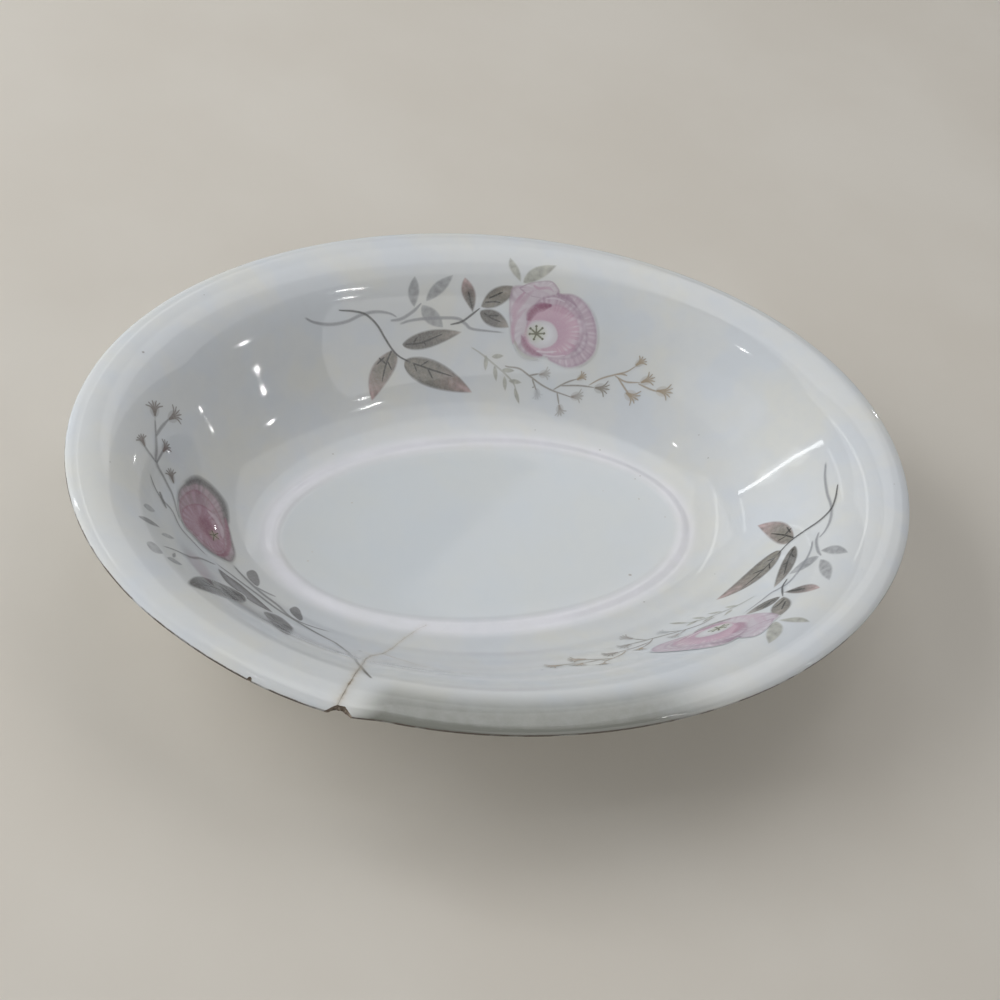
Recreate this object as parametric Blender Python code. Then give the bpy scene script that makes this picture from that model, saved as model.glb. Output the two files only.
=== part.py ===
# Oval serving bowl of glazed porcelain, cracked from the rim to the floor.
# One fired piece: floor, wall, rolled lip and foot ring. The chip, the nick and the
# crack are cut into it and stay open. Metres, +Z up, long axis along X.
# The origin is on the ground, in the middle of the foot ring.

import math

import bmesh
import bpy
from mathutils import Vector, noise

# Sizes of the clay body
RIM_LENGTH = 0.254
RIM_WIDTH = 0.187
FLOOR_LENGTH = 0.1304
FLOOR_WIDTH = 0.068
BOWL_DEPTH = 0.034
FLOOR_THICKNESS = 0.004
WALL_THICKNESS = 0.0035
OVAL_POWER = 2.02

# How long the wall stays flat where it leaves the floor and where it meets the rim
FLOOR_CURVE = 0.52
RIM_CURVE = 0.45

# Lip: the glazed edge turns down outwards
LIP_TURN = 0.0034
LIP_THICKNESS = 0.0030

# Foot ring under the edge of the floor
FOOT_HEIGHT = 0.0045
FOOT_WIDTH = 0.0038
FOOT_TAPER = 0.0009
FOOT_ROUND = 0.0006

# Raised bead on the inside, over the foot ring
BEAD_HEIGHT = 0.0005
BEAD_WIDTH = 0.0060

# Crack: angle round the oval in degrees, widths and the spring of its free edge
CRACK_ANGLE = -126.0
CRACK_WIDTH = 0.00040
HAIRLINE_WIDTH = 0.00022
HAIRLINE_DEPTH = 0.0016
SPRING_OUT = 0.0012
SPRING_DROP = 0.0004
SPRING_SPREAD_LEFT = 26.0
SPRING_SPREAD_RIGHT = 7.0

# Chip at the mouth of the crack, steep on its left and long on its right: its depth, and its
# outline in degrees from CRACK_ANGLE and shares of that depth
CHIP_DEPTH = 0.00205
CHIP_OUTLINE = [(-2.7, -0.1), (-2.0, 0.15), (-1.2, 0.25), (-0.75, 0.35), (-0.4, 0.68), (0.0, 1.0),
                (0.65, 0.9), (1.3, 0.54), (1.8, 0.27), (2.4, -0.1)]

# Nick further round the rim
NICK_ANGLE = -137.5
NICK_WIDTH = 0.0016
NICK_DEPTH = 0.0008

# Fineness of the mesh
ROUND_STEPS = 96
WALL_STEPS = 18
OUTER_STEPS = 12
LIP_STEPS = 4

# Each path runs along the inside: degrees from CRACK_ANGLE, share of the way up the wall
CRACK_PATH = [(0.0, 1.06), (0.0, 0.92), (0.2, 0.78), (0.5, 0.62), (-0.1, 0.45), (0.3, 0.34), (2.8, 0.27)]
FLOOR_BRANCH = [(2.2, 0.29), (3.8, 0.21), (5.6, 0.12), (8.2, 0.05), (10.6, 0.015)]
WALL_BRANCH = [(2.2, 0.28), (7.6, 0.335), (11.8, 0.395), (15.6, 0.46), (20.2, 0.53)]

GLAZE_COLOUR = (0.72, 0.75, 0.77, 1.0)
GLAZE_ROUGHNESS = 0.12

FLOOR_LEVEL = FOOT_HEIGHT + FLOOR_THICKNESS
RIM_LEVEL = FLOOR_LEVEL + BOWL_DEPTH
END_REACH = (RIM_LENGTH - FLOOR_LENGTH) / 2.0
SIDE_REACH = (RIM_WIDTH - FLOOR_WIDTH) / 2.0
REACH = (END_REACH + SIDE_REACH) / 2.0
WALL_REACH = REACH - LIP_TURN


def clear_scene():
    for item in list(bpy.data.objects):
        bpy.data.objects.remove(item, do_unlink=True)


def new_collection(name):
    collection = bpy.data.collections.new(name)
    bpy.context.scene.collection.children.link(collection)
    return collection


def add_object(name, mesh, collection):
    item = bpy.data.objects.new(name, mesh)
    collection.objects.link(item)
    return item


def signed_power(value, power):
    return math.copysign(abs(value) ** power, value)


def spring(angle):
    """Share of the crack's spring at an angle in radians: 1 at the crack, 0 away from it."""
    away = math.degrees(angle) - CRACK_ANGLE
    away = (away + 180.0) % 360.0 - 180.0
    spread = SPRING_SPREAD_LEFT if away < 0.0 else SPRING_SPREAD_RIGHT
    if abs(away) >= spread:
        return 0.0
    return 0.5 * (1.0 + math.cos(math.pi * away / spread))


def oval_point(offset, angle, height):
    """Point at a distance outside the floor's oval, sprung outwards near the crack."""
    half_length = FLOOR_LENGTH / 2.0 + offset * END_REACH / REACH
    half_width = FLOOR_WIDTH / 2.0 + offset * SIDE_REACH / REACH
    power = 2.0 / OVAL_POWER
    x = half_length * signed_power(math.cos(angle), power)
    y = half_width * signed_power(math.sin(angle), power)
    share = max(0.0, offset / REACH) ** 2 * spring(angle)
    outward = Vector((math.cos(angle) * half_width, math.sin(angle) * half_length, 0.0)).normalized()
    moved = Vector((x, y, height)) + outward * SPRING_OUT * share
    moved.z -= SPRING_DROP * share
    return moved


def wall_curve(step):
    """Offset and height of the inner wall: an S curve, level at the floor and at the rim."""
    back = 1.0 - step
    early = 3.0 * back * back * step
    late = 3.0 * back * step * step
    across = early * FLOOR_CURVE + late * (1.0 - RIM_CURVE) + step ** 3
    up = late + step ** 3
    return WALL_REACH * across, FLOOR_LEVEL + BOWL_DEPTH * up


def bead(offset):
    """Height of the raised bead at a distance from the edge of the floor."""
    if abs(offset) >= BEAD_WIDTH / 2.0:
        return 0.0
    return BEAD_HEIGHT * 0.5 * (1.0 + math.cos(2.0 * math.pi * offset / BEAD_WIDTH))


def inner_profile():
    """Inside of the bowl from the floor to the top of the lip."""
    points = [(-BEAD_WIDTH / 2.0, FLOOR_LEVEL)]
    for share in (0.75, 0.5, 0.25):
        offset = -BEAD_WIDTH / 2.0 * share
        points.append((offset, FLOOR_LEVEL + bead(offset)))
    for index in range(WALL_STEPS + 1):
        offset, height = wall_curve(index / WALL_STEPS)
        points.append((offset, height + bead(offset)))
    return points


def lip_profile():
    """Rounded edge, from the top of the lip over the outermost point to its underside."""
    points = []
    for index in range(1, LIP_STEPS + 1):
        turn = 0.5 * math.pi * index / LIP_STEPS
        offset = WALL_REACH + LIP_TURN * math.sin(turn)
        points.append((offset, RIM_LEVEL - 0.5 * LIP_THICKNESS * (1.0 - math.cos(turn))))
    for index in range(1, LIP_STEPS):
        turn = 0.5 * math.pi * index / LIP_STEPS
        offset = WALL_REACH + LIP_TURN * math.cos(turn)
        points.append((offset, RIM_LEVEL - 0.5 * LIP_THICKNESS * (1.0 + math.sin(turn))))
    return points


def outer_profile():
    """Outside of the wall, from under the lip down to the top of the foot ring."""
    points = []
    for index in range(OUTER_STEPS, 0, -1):
        step = index / OUTER_STEPS
        offset, height = wall_curve(step)
        ahead, above = wall_curve(min(1.0, step + 0.01))
        behind, below = wall_curve(step - 0.01)
        slope = math.atan2(above - below, ahead - behind)
        thickness = WALL_THICKNESS + (LIP_THICKNESS - WALL_THICKNESS) * step ** 4
        thickness += (FLOOR_THICKNESS - WALL_THICKNESS) * (1.0 - step) ** 2
        out = offset + thickness * math.sin(slope)
        if out > FOOT_WIDTH / 2.0 + 2.0 * FOOT_TAPER:
            points.append((out, height - thickness * math.cos(slope)))
    return points


def foot_profile():
    """Foot ring: tapered sides, rounded corners and a flat face that stands on the ground."""
    outer = FOOT_WIDTH / 2.0
    inner = -FOOT_WIDTH / 2.0
    under = FLOOR_LEVEL - FLOOR_THICKNESS
    return [
        (outer + 2.0 * FOOT_TAPER, under),
        (outer + FOOT_TAPER, under - FOOT_ROUND),
        (outer, FOOT_ROUND),
        (outer - 0.3 * FOOT_ROUND, 0.3 * FOOT_ROUND),
        (outer - FOOT_ROUND, 0.0),
        (inner + FOOT_ROUND, 0.0),
        (inner + 0.3 * FOOT_ROUND, 0.3 * FOOT_ROUND),
        (inner, FOOT_ROUND),
        (inner - FOOT_TAPER, under - FOOT_ROUND),
        (inner - 2.0 * FOOT_TAPER, under),
    ]


def bowl_mesh():
    """Loft of ovals along the profile, closed by a floor inside and a recessed base outside."""
    profile = inner_profile() + lip_profile() + outer_profile() + foot_profile()
    build = bmesh.new()
    start = math.radians(CRACK_ANGLE)
    angles = [start + 2.0 * math.pi * index / ROUND_STEPS for index in range(ROUND_STEPS)]
    rings = [[build.verts.new(oval_point(offset, angle, height)) for angle in angles]
             for offset, height in profile]
    for upper, lower in zip(rings, rings[1:]):
        for index in range(ROUND_STEPS):
            after = (index + 1) % ROUND_STEPS
            build.faces.new((upper[index], upper[after], lower[after], lower[index]))
    cap_ring(build, rings[0], FLOOR_LEVEL, True)
    cap_ring(build, rings[-1], FLOOR_LEVEL - FLOOR_THICKNESS, False)
    bmesh.ops.recalc_face_normals(build, faces=build.faces)
    mesh = bpy.data.meshes.new("bowl")
    build.to_mesh(mesh)
    build.free()
    mesh.shade_smooth()
    mesh.set_sharp_from_angle(angle=math.radians(40.0))
    return mesh


def cap_ring(build, ring, height, faces_up):
    """Flat disc inside a ring of points, as one smaller oval and a fan to the middle."""
    middle = build.verts.new((0.0, 0.0, height))
    count = len(ring)
    inside = [build.verts.new((v.co.x * 0.5, v.co.y * 0.5, height)) for v in ring]
    for index in range(count):
        after = (index + 1) % count
        quad = (inside[index], inside[after], ring[after], ring[index])
        fan = (middle, inside[after], inside[index])
        build.faces.new(quad if faces_up else quad[::-1])
        build.faces.new(fan[::-1] if faces_up else fan)


def inner_height(share):
    """Height of the inner wall at a share of the way from the floor's edge to the rim."""
    low, high = 0.0, 1.0
    for _ in range(30):
        middle = (low + high) / 2.0
        if wall_curve(middle)[0] < share * REACH:
            low = middle
        else:
            high = middle
    return wall_curve((low + high) / 2.0)[1]


def crack_cutter(name, path, widths, depths, collection):
    """Upright ribbon along a path on the inside of the bowl, to a depth below its surface."""
    build = bmesh.new()
    places = []
    for turn, share in path:
        angle = math.radians(CRACK_ANGLE + turn)
        places.append(oval_point(share * REACH, angle, inner_height(share)))
    sections = []
    for index, place in enumerate(places):
        before = places[max(0, index - 1)]
        after = places[min(len(places) - 1, index + 1)]
        along = (after - before).to_2d().normalized()
        side = Vector((-along.y, along.x, 0.0))
        half = 0.5 * (widths[0] + (widths[1] - widths[0]) * index / (len(places) - 1))
        deep = depths[0] + (depths[1] - depths[0]) * index / (len(places) - 1)
        top = Vector((0.0, 0.0, 2.0 * WALL_THICKNESS))
        down = Vector((0.0, 0.0, -deep))
        corners = (place + side * half + top, place - side * half + top,
                   place - side * half + down, place + side * half + down)
        sections.append([build.verts.new(corner) for corner in corners])
    join_sections(build, sections)
    return cutter_object(name, build, collection)


def chip_cutter(name, outline, depth, collection):
    """Upright block across the rim: its inner side follows an outline from the rim's edge inwards."""
    build = bmesh.new()
    sections = []
    for turn, share in outline:
        angle = math.radians(CRACK_ANGLE + turn)
        inner = oval_point(REACH - share * depth, angle, RIM_LEVEL)
        outer = oval_point(REACH + depth, angle, RIM_LEVEL)
        reach = Vector((0.0, 0.0, 2.0 * LIP_THICKNESS))
        corners = (inner + reach, outer + reach, outer - reach, inner - reach)
        sections.append([build.verts.new(corner) for corner in corners])
    join_sections(build, sections)
    return cutter_object(name, build, collection)


def join_sections(build, sections):
    """Closed tube through a row of four-cornered sections, with a face at each end."""
    for first, second in zip(sections, sections[1:]):
        for index in range(4):
            after = (index + 1) % 4
            build.faces.new((first[index], first[after], second[after], second[index]))
    build.faces.new(sections[0][::-1])
    build.faces.new(sections[-1])
    bmesh.ops.recalc_face_normals(build, faces=build.faces)


def flake_cutter(name, angle_degrees, width, depth, drop, collection):
    """Uneven rounded lump across the rim, which leaves a shell-shaped break."""
    build = bmesh.new()
    bmesh.ops.create_icosphere(build, subdivisions=3, radius=1.0)
    for vert in build.verts:
        vert.co *= 1.0 + 0.16 * noise.noise(vert.co * 1.7 + Vector((angle_degrees, 0.0, 0.0)))
    angle = math.radians(angle_degrees)
    edge = oval_point(REACH, angle, RIM_LEVEL - drop)
    beside = oval_point(REACH, angle + 0.01, RIM_LEVEL - drop)
    along = (beside - edge).to_2d().normalized()
    for vert in build.verts:
        across = vert.co.x * width / 2.0
        inward = vert.co.y * depth
        x = edge.x + along.x * across - along.y * inward
        y = edge.y + along.y * across + along.x * inward
        vert.co = Vector((x, y, edge.z + vert.co.z * 2.0 * LIP_THICKNESS))
    return cutter_object(name, build, collection)


def cutter_object(name, build, collection):
    mesh = bpy.data.meshes.new(name)
    build.to_mesh(mesh)
    build.free()
    item = add_object(name, mesh, collection)
    item.hide_render = True
    item.display_type = 'WIRE'
    return item


def cut(body, cutter):
    modifier = body.modifiers.new(cutter.name, 'BOOLEAN')
    modifier.operation = 'DIFFERENCE'
    modifier.solver = 'EXACT'
    modifier.object = cutter


def glaze_material():
    material = bpy.data.materials.new("glazed_porcelain")
    material.use_nodes = True
    shader = material.node_tree.nodes["Principled BSDF"]
    shader.inputs["Base Color"].default_value = GLAZE_COLOUR
    shader.inputs["Roughness"].default_value = GLAZE_ROUGHNESS
    shader.inputs["Metallic"].default_value = 0.0
    return material


def build_damage(body, collection):
    """Chip, nick and forked crack, cut in the order in which they meet the rim."""
    chip = chip_cutter("chip", CHIP_OUTLINE, CHIP_DEPTH, collection)
    nick = flake_cutter("nick", NICK_ANGLE, NICK_WIDTH, NICK_DEPTH, 0.0, collection)
    through = 3.0 * WALL_THICKNESS
    crack = crack_cutter("crack", CRACK_PATH, (CRACK_WIDTH, HAIRLINE_WIDTH),
                         (through, HAIRLINE_DEPTH), collection)
    floor_branch = crack_cutter("floor_branch", FLOOR_BRANCH, (HAIRLINE_WIDTH, 0.5 * HAIRLINE_WIDTH),
                                (HAIRLINE_DEPTH, 0.5 * HAIRLINE_DEPTH), collection)
    wall_branch = crack_cutter("wall_branch", WALL_BRANCH, (HAIRLINE_WIDTH, 0.5 * HAIRLINE_WIDTH),
                               (HAIRLINE_DEPTH, 0.5 * HAIRLINE_DEPTH), collection)
    for cutter in (crack, floor_branch, wall_branch, chip, nick):
        cut(body, cutter)


def main():
    clear_scene()
    parts = new_collection("cracked_bowl")
    cutters = new_collection("damage_cutters")
    bowl = add_object("bowl", bowl_mesh(), parts)
    bowl.data.materials.append(glaze_material())
    build_damage(bowl, cutters)


main()
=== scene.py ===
import math

import bpy
import numpy as np
from mathutils import Matrix, Vector, kdtree, noise


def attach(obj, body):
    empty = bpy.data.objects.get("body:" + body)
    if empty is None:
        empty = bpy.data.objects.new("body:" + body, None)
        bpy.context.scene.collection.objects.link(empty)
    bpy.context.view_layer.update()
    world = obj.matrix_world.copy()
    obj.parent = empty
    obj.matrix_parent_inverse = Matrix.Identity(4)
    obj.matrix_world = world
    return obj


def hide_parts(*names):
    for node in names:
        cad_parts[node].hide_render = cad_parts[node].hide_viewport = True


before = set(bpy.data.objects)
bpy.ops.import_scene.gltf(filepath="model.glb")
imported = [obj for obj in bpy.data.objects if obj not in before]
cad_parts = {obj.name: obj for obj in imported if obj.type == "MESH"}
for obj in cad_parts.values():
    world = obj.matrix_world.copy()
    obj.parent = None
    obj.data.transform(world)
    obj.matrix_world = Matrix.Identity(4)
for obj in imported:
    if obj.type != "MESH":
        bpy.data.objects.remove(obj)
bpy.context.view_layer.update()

# Sizes of the bowl, as in its solid, with its lengths in metres
RIM_LENGTH = 0.254
RIM_WIDTH = 0.187
FLOOR_LENGTH = 0.1304
FLOOR_WIDTH = 0.068
BOWL_DEPTH = 0.034
FLOOR_THICKNESS = 0.004
WALL_THICKNESS = 0.0035
OVAL_POWER = 2.02
FLOOR_CURVE = 0.52
RIM_CURVE = 0.45
LIP_TURN = 0.0034
LIP_THICKNESS = 0.0030
FOOT_HEIGHT = 0.0045
FOOT_WIDTH = 0.0038
FOOT_TAPER = 0.0009
FOOT_ROUND = 0.0006
BEAD_HEIGHT = 0.0005
BEAD_WIDTH = 0.0060

# The damage, where the solid has it but with a finer crack and nick: angles in degrees round the oval,
# widths and depths in metres, the chip's outline in degrees from the crack and shares of its depth
CRACK_ANGLE = -126.0
CRACK_WIDTH = 0.00007
HAIRLINE_WIDTH = 0.00005
HAIRLINE_DEPTH = 0.0016
SPRING_OUT = 0.0012
SPRING_DROP = 0.0004
SPRING_SPREAD_LEFT = 26.0
SPRING_SPREAD_RIGHT = 7.0
CHIP_DEPTH = 0.00205
CHIP_OUTLINE = [(-1.5, -0.1), (-1.0, 0.12), (-0.7, 0.34), (-0.35, 0.72), (0.0, 1.0), (0.55, 0.98),
                (1.0, 0.86), (1.5, 0.55), (1.9, 0.25), (2.4, -0.1)]
CHIP_SLANT = 0.15
CHIP_ROUGHNESS = 0.16
NICK_ANGLE = -137.5
NICK_WIDTH = 0.0012
NICK_DEPTH = 0.0006

# Paths of the crack: degrees from CRACK_ANGLE and share of the way up the wall, and wander in metres
CRACK_PATH = [(0.0, 1.06), (0.0, 0.92), (0.2, 0.78), (0.5, 0.62), (-0.1, 0.45), (0.3, 0.34), (2.8, 0.27)]
FLOOR_BRANCH = [(2.2, 0.29), (3.8, 0.21), (5.6, 0.12), (8.2, 0.05), (10.6, 0.015)]
WALL_BRANCH = [(2.2, 0.28), (7.6, 0.335), (11.8, 0.395), (15.6, 0.46), (20.2, 0.53)]
CRACK_WANDER = 0.00022
BRANCH_WANDER = 0.00030

# Fineness of the bowl's mesh, with its angles in degrees
COARSE_STEP = 1.0
FINE_STEP = 0.2
FINE_SPREAD = 7.0
FINE_SPREAD_NICK = 1.5
BEAD_STEPS = 8
WALL_STEPS = 92
LIP_STEPS = 14
OUTER_STEPS = 44
FOOT_STEPS = 5
CAP_RINGS = 7
CHIP_STEPS = 64
CHIP_LEVELS = 13
SHARP_ANGLE = 38.0

FLOOR_LEVEL = FOOT_HEIGHT + FLOOR_THICKNESS
RIM_LEVEL = FLOOR_LEVEL + BOWL_DEPTH
END_REACH = (RIM_LENGTH - FLOOR_LENGTH) / 2.0
SIDE_REACH = (RIM_WIDTH - FLOOR_WIDTH) / 2.0
REACH = (END_REACH + SIDE_REACH) / 2.0
WALL_REACH = REACH - LIP_TURN

# Camera, fitted to the photograph: place in metres, turn in degrees, sensor and lens in millimetres
CAMERA_PLACE = (-0.22999, -0.33166, 0.44739)
CAMERA_TURN = (41.5068, -14.6689, -18.894)
CAMERA_SENSOR = 36.0
CAMERA_LENS = 72.0

# Stain beside the crack: half widths in metres of its dark core and of its pale halo, and how strong it
# is from one end of each path to the other
STAIN_CORE = 0.0006
STAIN_HALO = 0.0012
BRANCH_CORE = 0.00045
BRANCH_HALO = 0.0014
STAIN_SHARES = [0.0, 0.1, 0.45, 0.75, 1.0]
STAIN_STRENGTHS = [0.8, 1.0, 0.95, 0.85, 0.6]
FLOOR_BRANCH_FADE = (0.6, 0.2)
WALL_BRANCH_FADE = (0.35, 0.0)
# Share of the stain that stays on the outside, and the metres past the rim's edge where that starts
OUTSIDE_STAIN = 0.5
OUTSIDE_FROM = 0.004

# Painted highlight in a pale ring on the bead round the floor, cooler glaze on the floor, and the bare
# foot, in metres
PALE_RING_MIDDLE = 0.0012
PALE_RING_WIDTH = 0.0030
FLOOR_TINT = 0.6
FLOOR_TINT_FADE = 0.004
BARE_FOOT = 0.0009
BARE_FOOT_FADE = 0.0005

# Painted shade along the front of the rim, where the lip curves down: degrees round the oval between which
# it lies, the degrees over which it comes and goes, its width in metres, where it is fullest, and the width
# of the darker strip at the lip's edge
LIP_SHADE_SPAN = (-125.0, -72.0)
LIP_SHADE_FADES = (5.0, 16.0)
LIP_SHADE_WIDTH = 0.016
LIP_SHADE_FULL = 0.005
LIP_EDGE_SHADE = 0.003


def signed_power(value, power):
    return np.sign(value) * np.abs(value) ** power


def degrees_from(middle, angle):
    """Degrees from one direction to another, from -180 to 180."""
    return (angle - middle + 180.0) % 360.0 - 180.0


def spring(angle):
    """Share of the crack's spring at angles in radians: 1 at the crack, 0 away from it."""
    away = degrees_from(CRACK_ANGLE, np.degrees(angle))
    spread = np.where(away < 0.0, SPRING_SPREAD_LEFT, SPRING_SPREAD_RIGHT)
    rounded = 0.5 * (1.0 + np.cos(np.pi * away / spread))
    return np.where(np.abs(away) < spread, rounded, 0.0)


def half_axes(offset):
    """Half length and half width of the oval at distances outside the floor's."""
    half_length = FLOOR_LENGTH / 2.0 + offset * END_REACH / REACH
    half_width = FLOOR_WIDTH / 2.0 + offset * SIDE_REACH / REACH
    return half_length, half_width


def oval_points(offset, angle, height):
    """Points at distances outside the floor's oval, sprung outwards near the crack."""
    offset, angle, height = np.broadcast_arrays(offset, angle, height)
    half_length, half_width = half_axes(offset)
    power = 2.0 / OVAL_POWER
    x = half_length * signed_power(np.cos(angle), power)
    y = half_width * signed_power(np.sin(angle), power)
    share = np.maximum(0.0, offset / REACH) ** 2 * spring(angle)
    out_x = np.cos(angle) * half_width
    out_y = np.sin(angle) * half_length
    size = np.hypot(out_x, out_y)
    x = x + out_x / size * SPRING_OUT * share
    y = y + out_y / size * SPRING_OUT * share
    return np.stack([x, y, height - SPRING_DROP * share], axis=-1)


def wall_curve(step):
    """Offset and height of the inner wall: an S curve, level at the floor and at the rim."""
    back = 1.0 - step
    early = 3.0 * back * back * step
    late = 3.0 * back * step * step
    across = early * FLOOR_CURVE + late * (1.0 - RIM_CURVE) + step ** 3
    return WALL_REACH * across, FLOOR_LEVEL + BOWL_DEPTH * (late + step ** 3)


def bead(offset):
    """Height of the raised bead at distances from the edge of the floor."""
    raised = BEAD_HEIGHT * 0.5 * (1.0 + np.cos(2.0 * np.pi * offset / BEAD_WIDTH))
    return np.where(np.abs(offset) < BEAD_WIDTH / 2.0, raised, 0.0)


# The wall's curve as a table: offset, height and length of arc from the edge of the floor
TABLE_STEPS = np.linspace(0.0, 1.0, 600)
TABLE_OFFSET, TABLE_HEIGHT = wall_curve(TABLE_STEPS)
TABLE_RISE = np.concatenate([[0.0], np.cumsum(np.hypot(np.diff(TABLE_OFFSET), np.diff(TABLE_HEIGHT)))])

# The ring half way out as a table: angle and length of arc, anticlockwise from +X
RING_ANGLES = np.linspace(-2.0 * np.pi, 2.0 * np.pi, 5761)


def ring_lengths():
    half_length, half_width = half_axes(REACH / 2.0)
    power = 2.0 / OVAL_POWER
    x = half_length * signed_power(np.cos(RING_ANGLES), power)
    y = half_width * signed_power(np.sin(RING_ANGLES), power)
    length = np.concatenate([[0.0], np.cumsum(np.hypot(np.diff(x), np.diff(y)))])
    return length - np.interp(0.0, RING_ANGLES, length)


RING_LENGTHS = ring_lengths()


def inner_height(offset):
    """Height of the inside of the bowl at distances outside the floor's oval."""
    return np.interp(offset, TABLE_OFFSET, TABLE_HEIGHT) + bead(offset)


def inner_places(offset, angle, lift):
    """Places and normals on the inside of the bowl, lifted off it by a small distance."""
    small = 1e-4
    place = oval_points(offset, angle, inner_height(offset))
    along = oval_points(offset, angle + small, inner_height(offset)) - place
    outward = oval_points(offset + small, angle, inner_height(offset + small)) - place
    normal = np.cross(outward, along)
    normal /= np.linalg.norm(normal, axis=-1, keepdims=True)
    normal = np.where(normal[..., 2:] < 0.0, -normal, normal)
    return place + normal * np.asarray(lift)[..., None], normal


def add_object(name, mesh):
    item = bpy.data.objects.new(name, mesh)
    bpy.context.scene.collection.objects.link(item)
    return item


def mesh_from(name, points, faces):
    mesh = bpy.data.meshes.new(name)
    mesh.from_pydata(np.asarray(points).reshape(-1, 3).tolist(), [], faces)
    mesh.update()
    mesh.shade_smooth()
    return mesh


def grid_faces(rows, columns, start=0, closed=False):
    """Quads between rows of points; closed joins the last column to the first."""
    faces = []
    for row in range(rows - 1):
        for column in range(columns if closed else columns - 1):
            after = (column + 1) % columns
            first = start + row * columns
            second = first + columns
            faces.append((first + column, first + after, second + after, second + column))
    return faces


# Bowl

def stations():
    """Angles round the oval in radians, closer together near the crack and the nick."""
    found = []
    turned = 0.0
    while turned < 360.0 - 0.5 * FINE_STEP:
        found.append(CRACK_ANGLE + turned)
        from_crack = min(turned, 360.0 - turned)
        from_nick = abs(degrees_from(NICK_ANGLE, CRACK_ANGLE + turned))
        fine = from_crack < FINE_SPREAD or from_nick < FINE_SPREAD_NICK
        turned += FINE_STEP if fine else COARSE_STEP
    return np.radians(found)


def inner_profile():
    """Inside of the bowl from the floor to the top of the lip."""
    offsets = np.linspace(-BEAD_WIDTH / 2.0, 0.0, BEAD_STEPS + 1)[:-1]
    wall_offset, wall_height = wall_curve(np.linspace(0.0, 1.0, WALL_STEPS + 1))
    offset = np.concatenate([offsets, wall_offset])
    height = np.concatenate([np.full(BEAD_STEPS, FLOOR_LEVEL), wall_height])
    return list(zip(offset, height + bead(offset)))


def lip_profile():
    """Rounded edge, from the top of the lip over the outermost point to its underside."""
    points = []
    for index in range(1, LIP_STEPS + 1):
        turn = 0.5 * math.pi * index / LIP_STEPS
        offset = WALL_REACH + LIP_TURN * math.sin(turn)
        points.append((offset, RIM_LEVEL - 0.5 * LIP_THICKNESS * (1.0 - math.cos(turn))))
    for index in range(1, LIP_STEPS):
        turn = 0.5 * math.pi * index / LIP_STEPS
        offset = WALL_REACH + LIP_TURN * math.cos(turn)
        points.append((offset, RIM_LEVEL - 0.5 * LIP_THICKNESS * (1.0 + math.sin(turn))))
    return points


def outer_profile():
    """Outside of the wall, from under the lip down to the top of the foot ring."""
    points = []
    for index in range(OUTER_STEPS, 0, -1):
        step = index / OUTER_STEPS
        offset, height = wall_curve(step)
        ahead, above = wall_curve(min(1.0, step + 0.01))
        behind, below = wall_curve(step - 0.01)
        slope = math.atan2(above - below, ahead - behind)
        thickness = WALL_THICKNESS + (LIP_THICKNESS - WALL_THICKNESS) * step ** 4
        thickness += (FLOOR_THICKNESS - WALL_THICKNESS) * (1.0 - step) ** 2
        out = offset + thickness * math.sin(slope)
        if out > FOOT_WIDTH / 2.0 + 2.0 * FOOT_TAPER + 0.0004:
            points.append((out, height - thickness * math.cos(slope)))
    return points


def foot_profile():
    """Foot ring: tapered sides with hollow corners above, rounded corners below."""
    under = FLOOR_LEVEL - FLOOR_THICKNESS
    half = []
    for index in range(FOOT_STEPS + 1):
        turn = 0.5 * math.pi * index / FOOT_STEPS
        offset = FOOT_WIDTH / 2.0 + 2.0 * FOOT_TAPER - FOOT_TAPER * math.sin(turn)
        half.append((offset, under - FOOT_ROUND * (1.0 - math.cos(turn))))
    half.append((FOOT_WIDTH / 2.0 + FOOT_TAPER / 2.0, (under + FOOT_ROUND) / 2.0 - FOOT_ROUND / 2.0))
    for index in range(FOOT_STEPS + 1):
        turn = 0.5 * math.pi * index / FOOT_STEPS
        offset = FOOT_WIDTH / 2.0 - FOOT_ROUND * (1.0 - math.cos(turn))
        half.append((offset, FOOT_ROUND * (1.0 - math.sin(turn))))
    return half + [(-offset, height) for offset, height in reversed(half)]


def cap_faces(start, ring_start, columns, ring_count, up):
    """Rings of quads and a fan that close a ring of points towards the middle."""
    faces = []
    outer = ring_start
    for ring in range(ring_count):
        inner = start + ring * columns
        for column in range(columns):
            after = (column + 1) % columns
            quad = (inner + column, inner + after, outer + after, outer + column)
            faces.append(quad if up else quad[::-1])
        outer = inner
    middle = start + ring_count * columns
    for column in range(columns):
        after = (column + 1) % columns
        fan = (middle, outer + after, outer + column)
        faces.append(fan[::-1] if up else fan)
    return faces


def cap_points(ring, height, ring_count):
    points = []
    for index in range(ring_count):
        inward = 1.0 - (index + 1) / (ring_count + 1)
        points.append(np.column_stack([ring[:, 0] * inward, ring[:, 1] * inward,
                                       np.full(len(ring), height)]))
    return np.concatenate(points + [np.array([[0.0, 0.0, height]])])


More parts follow.
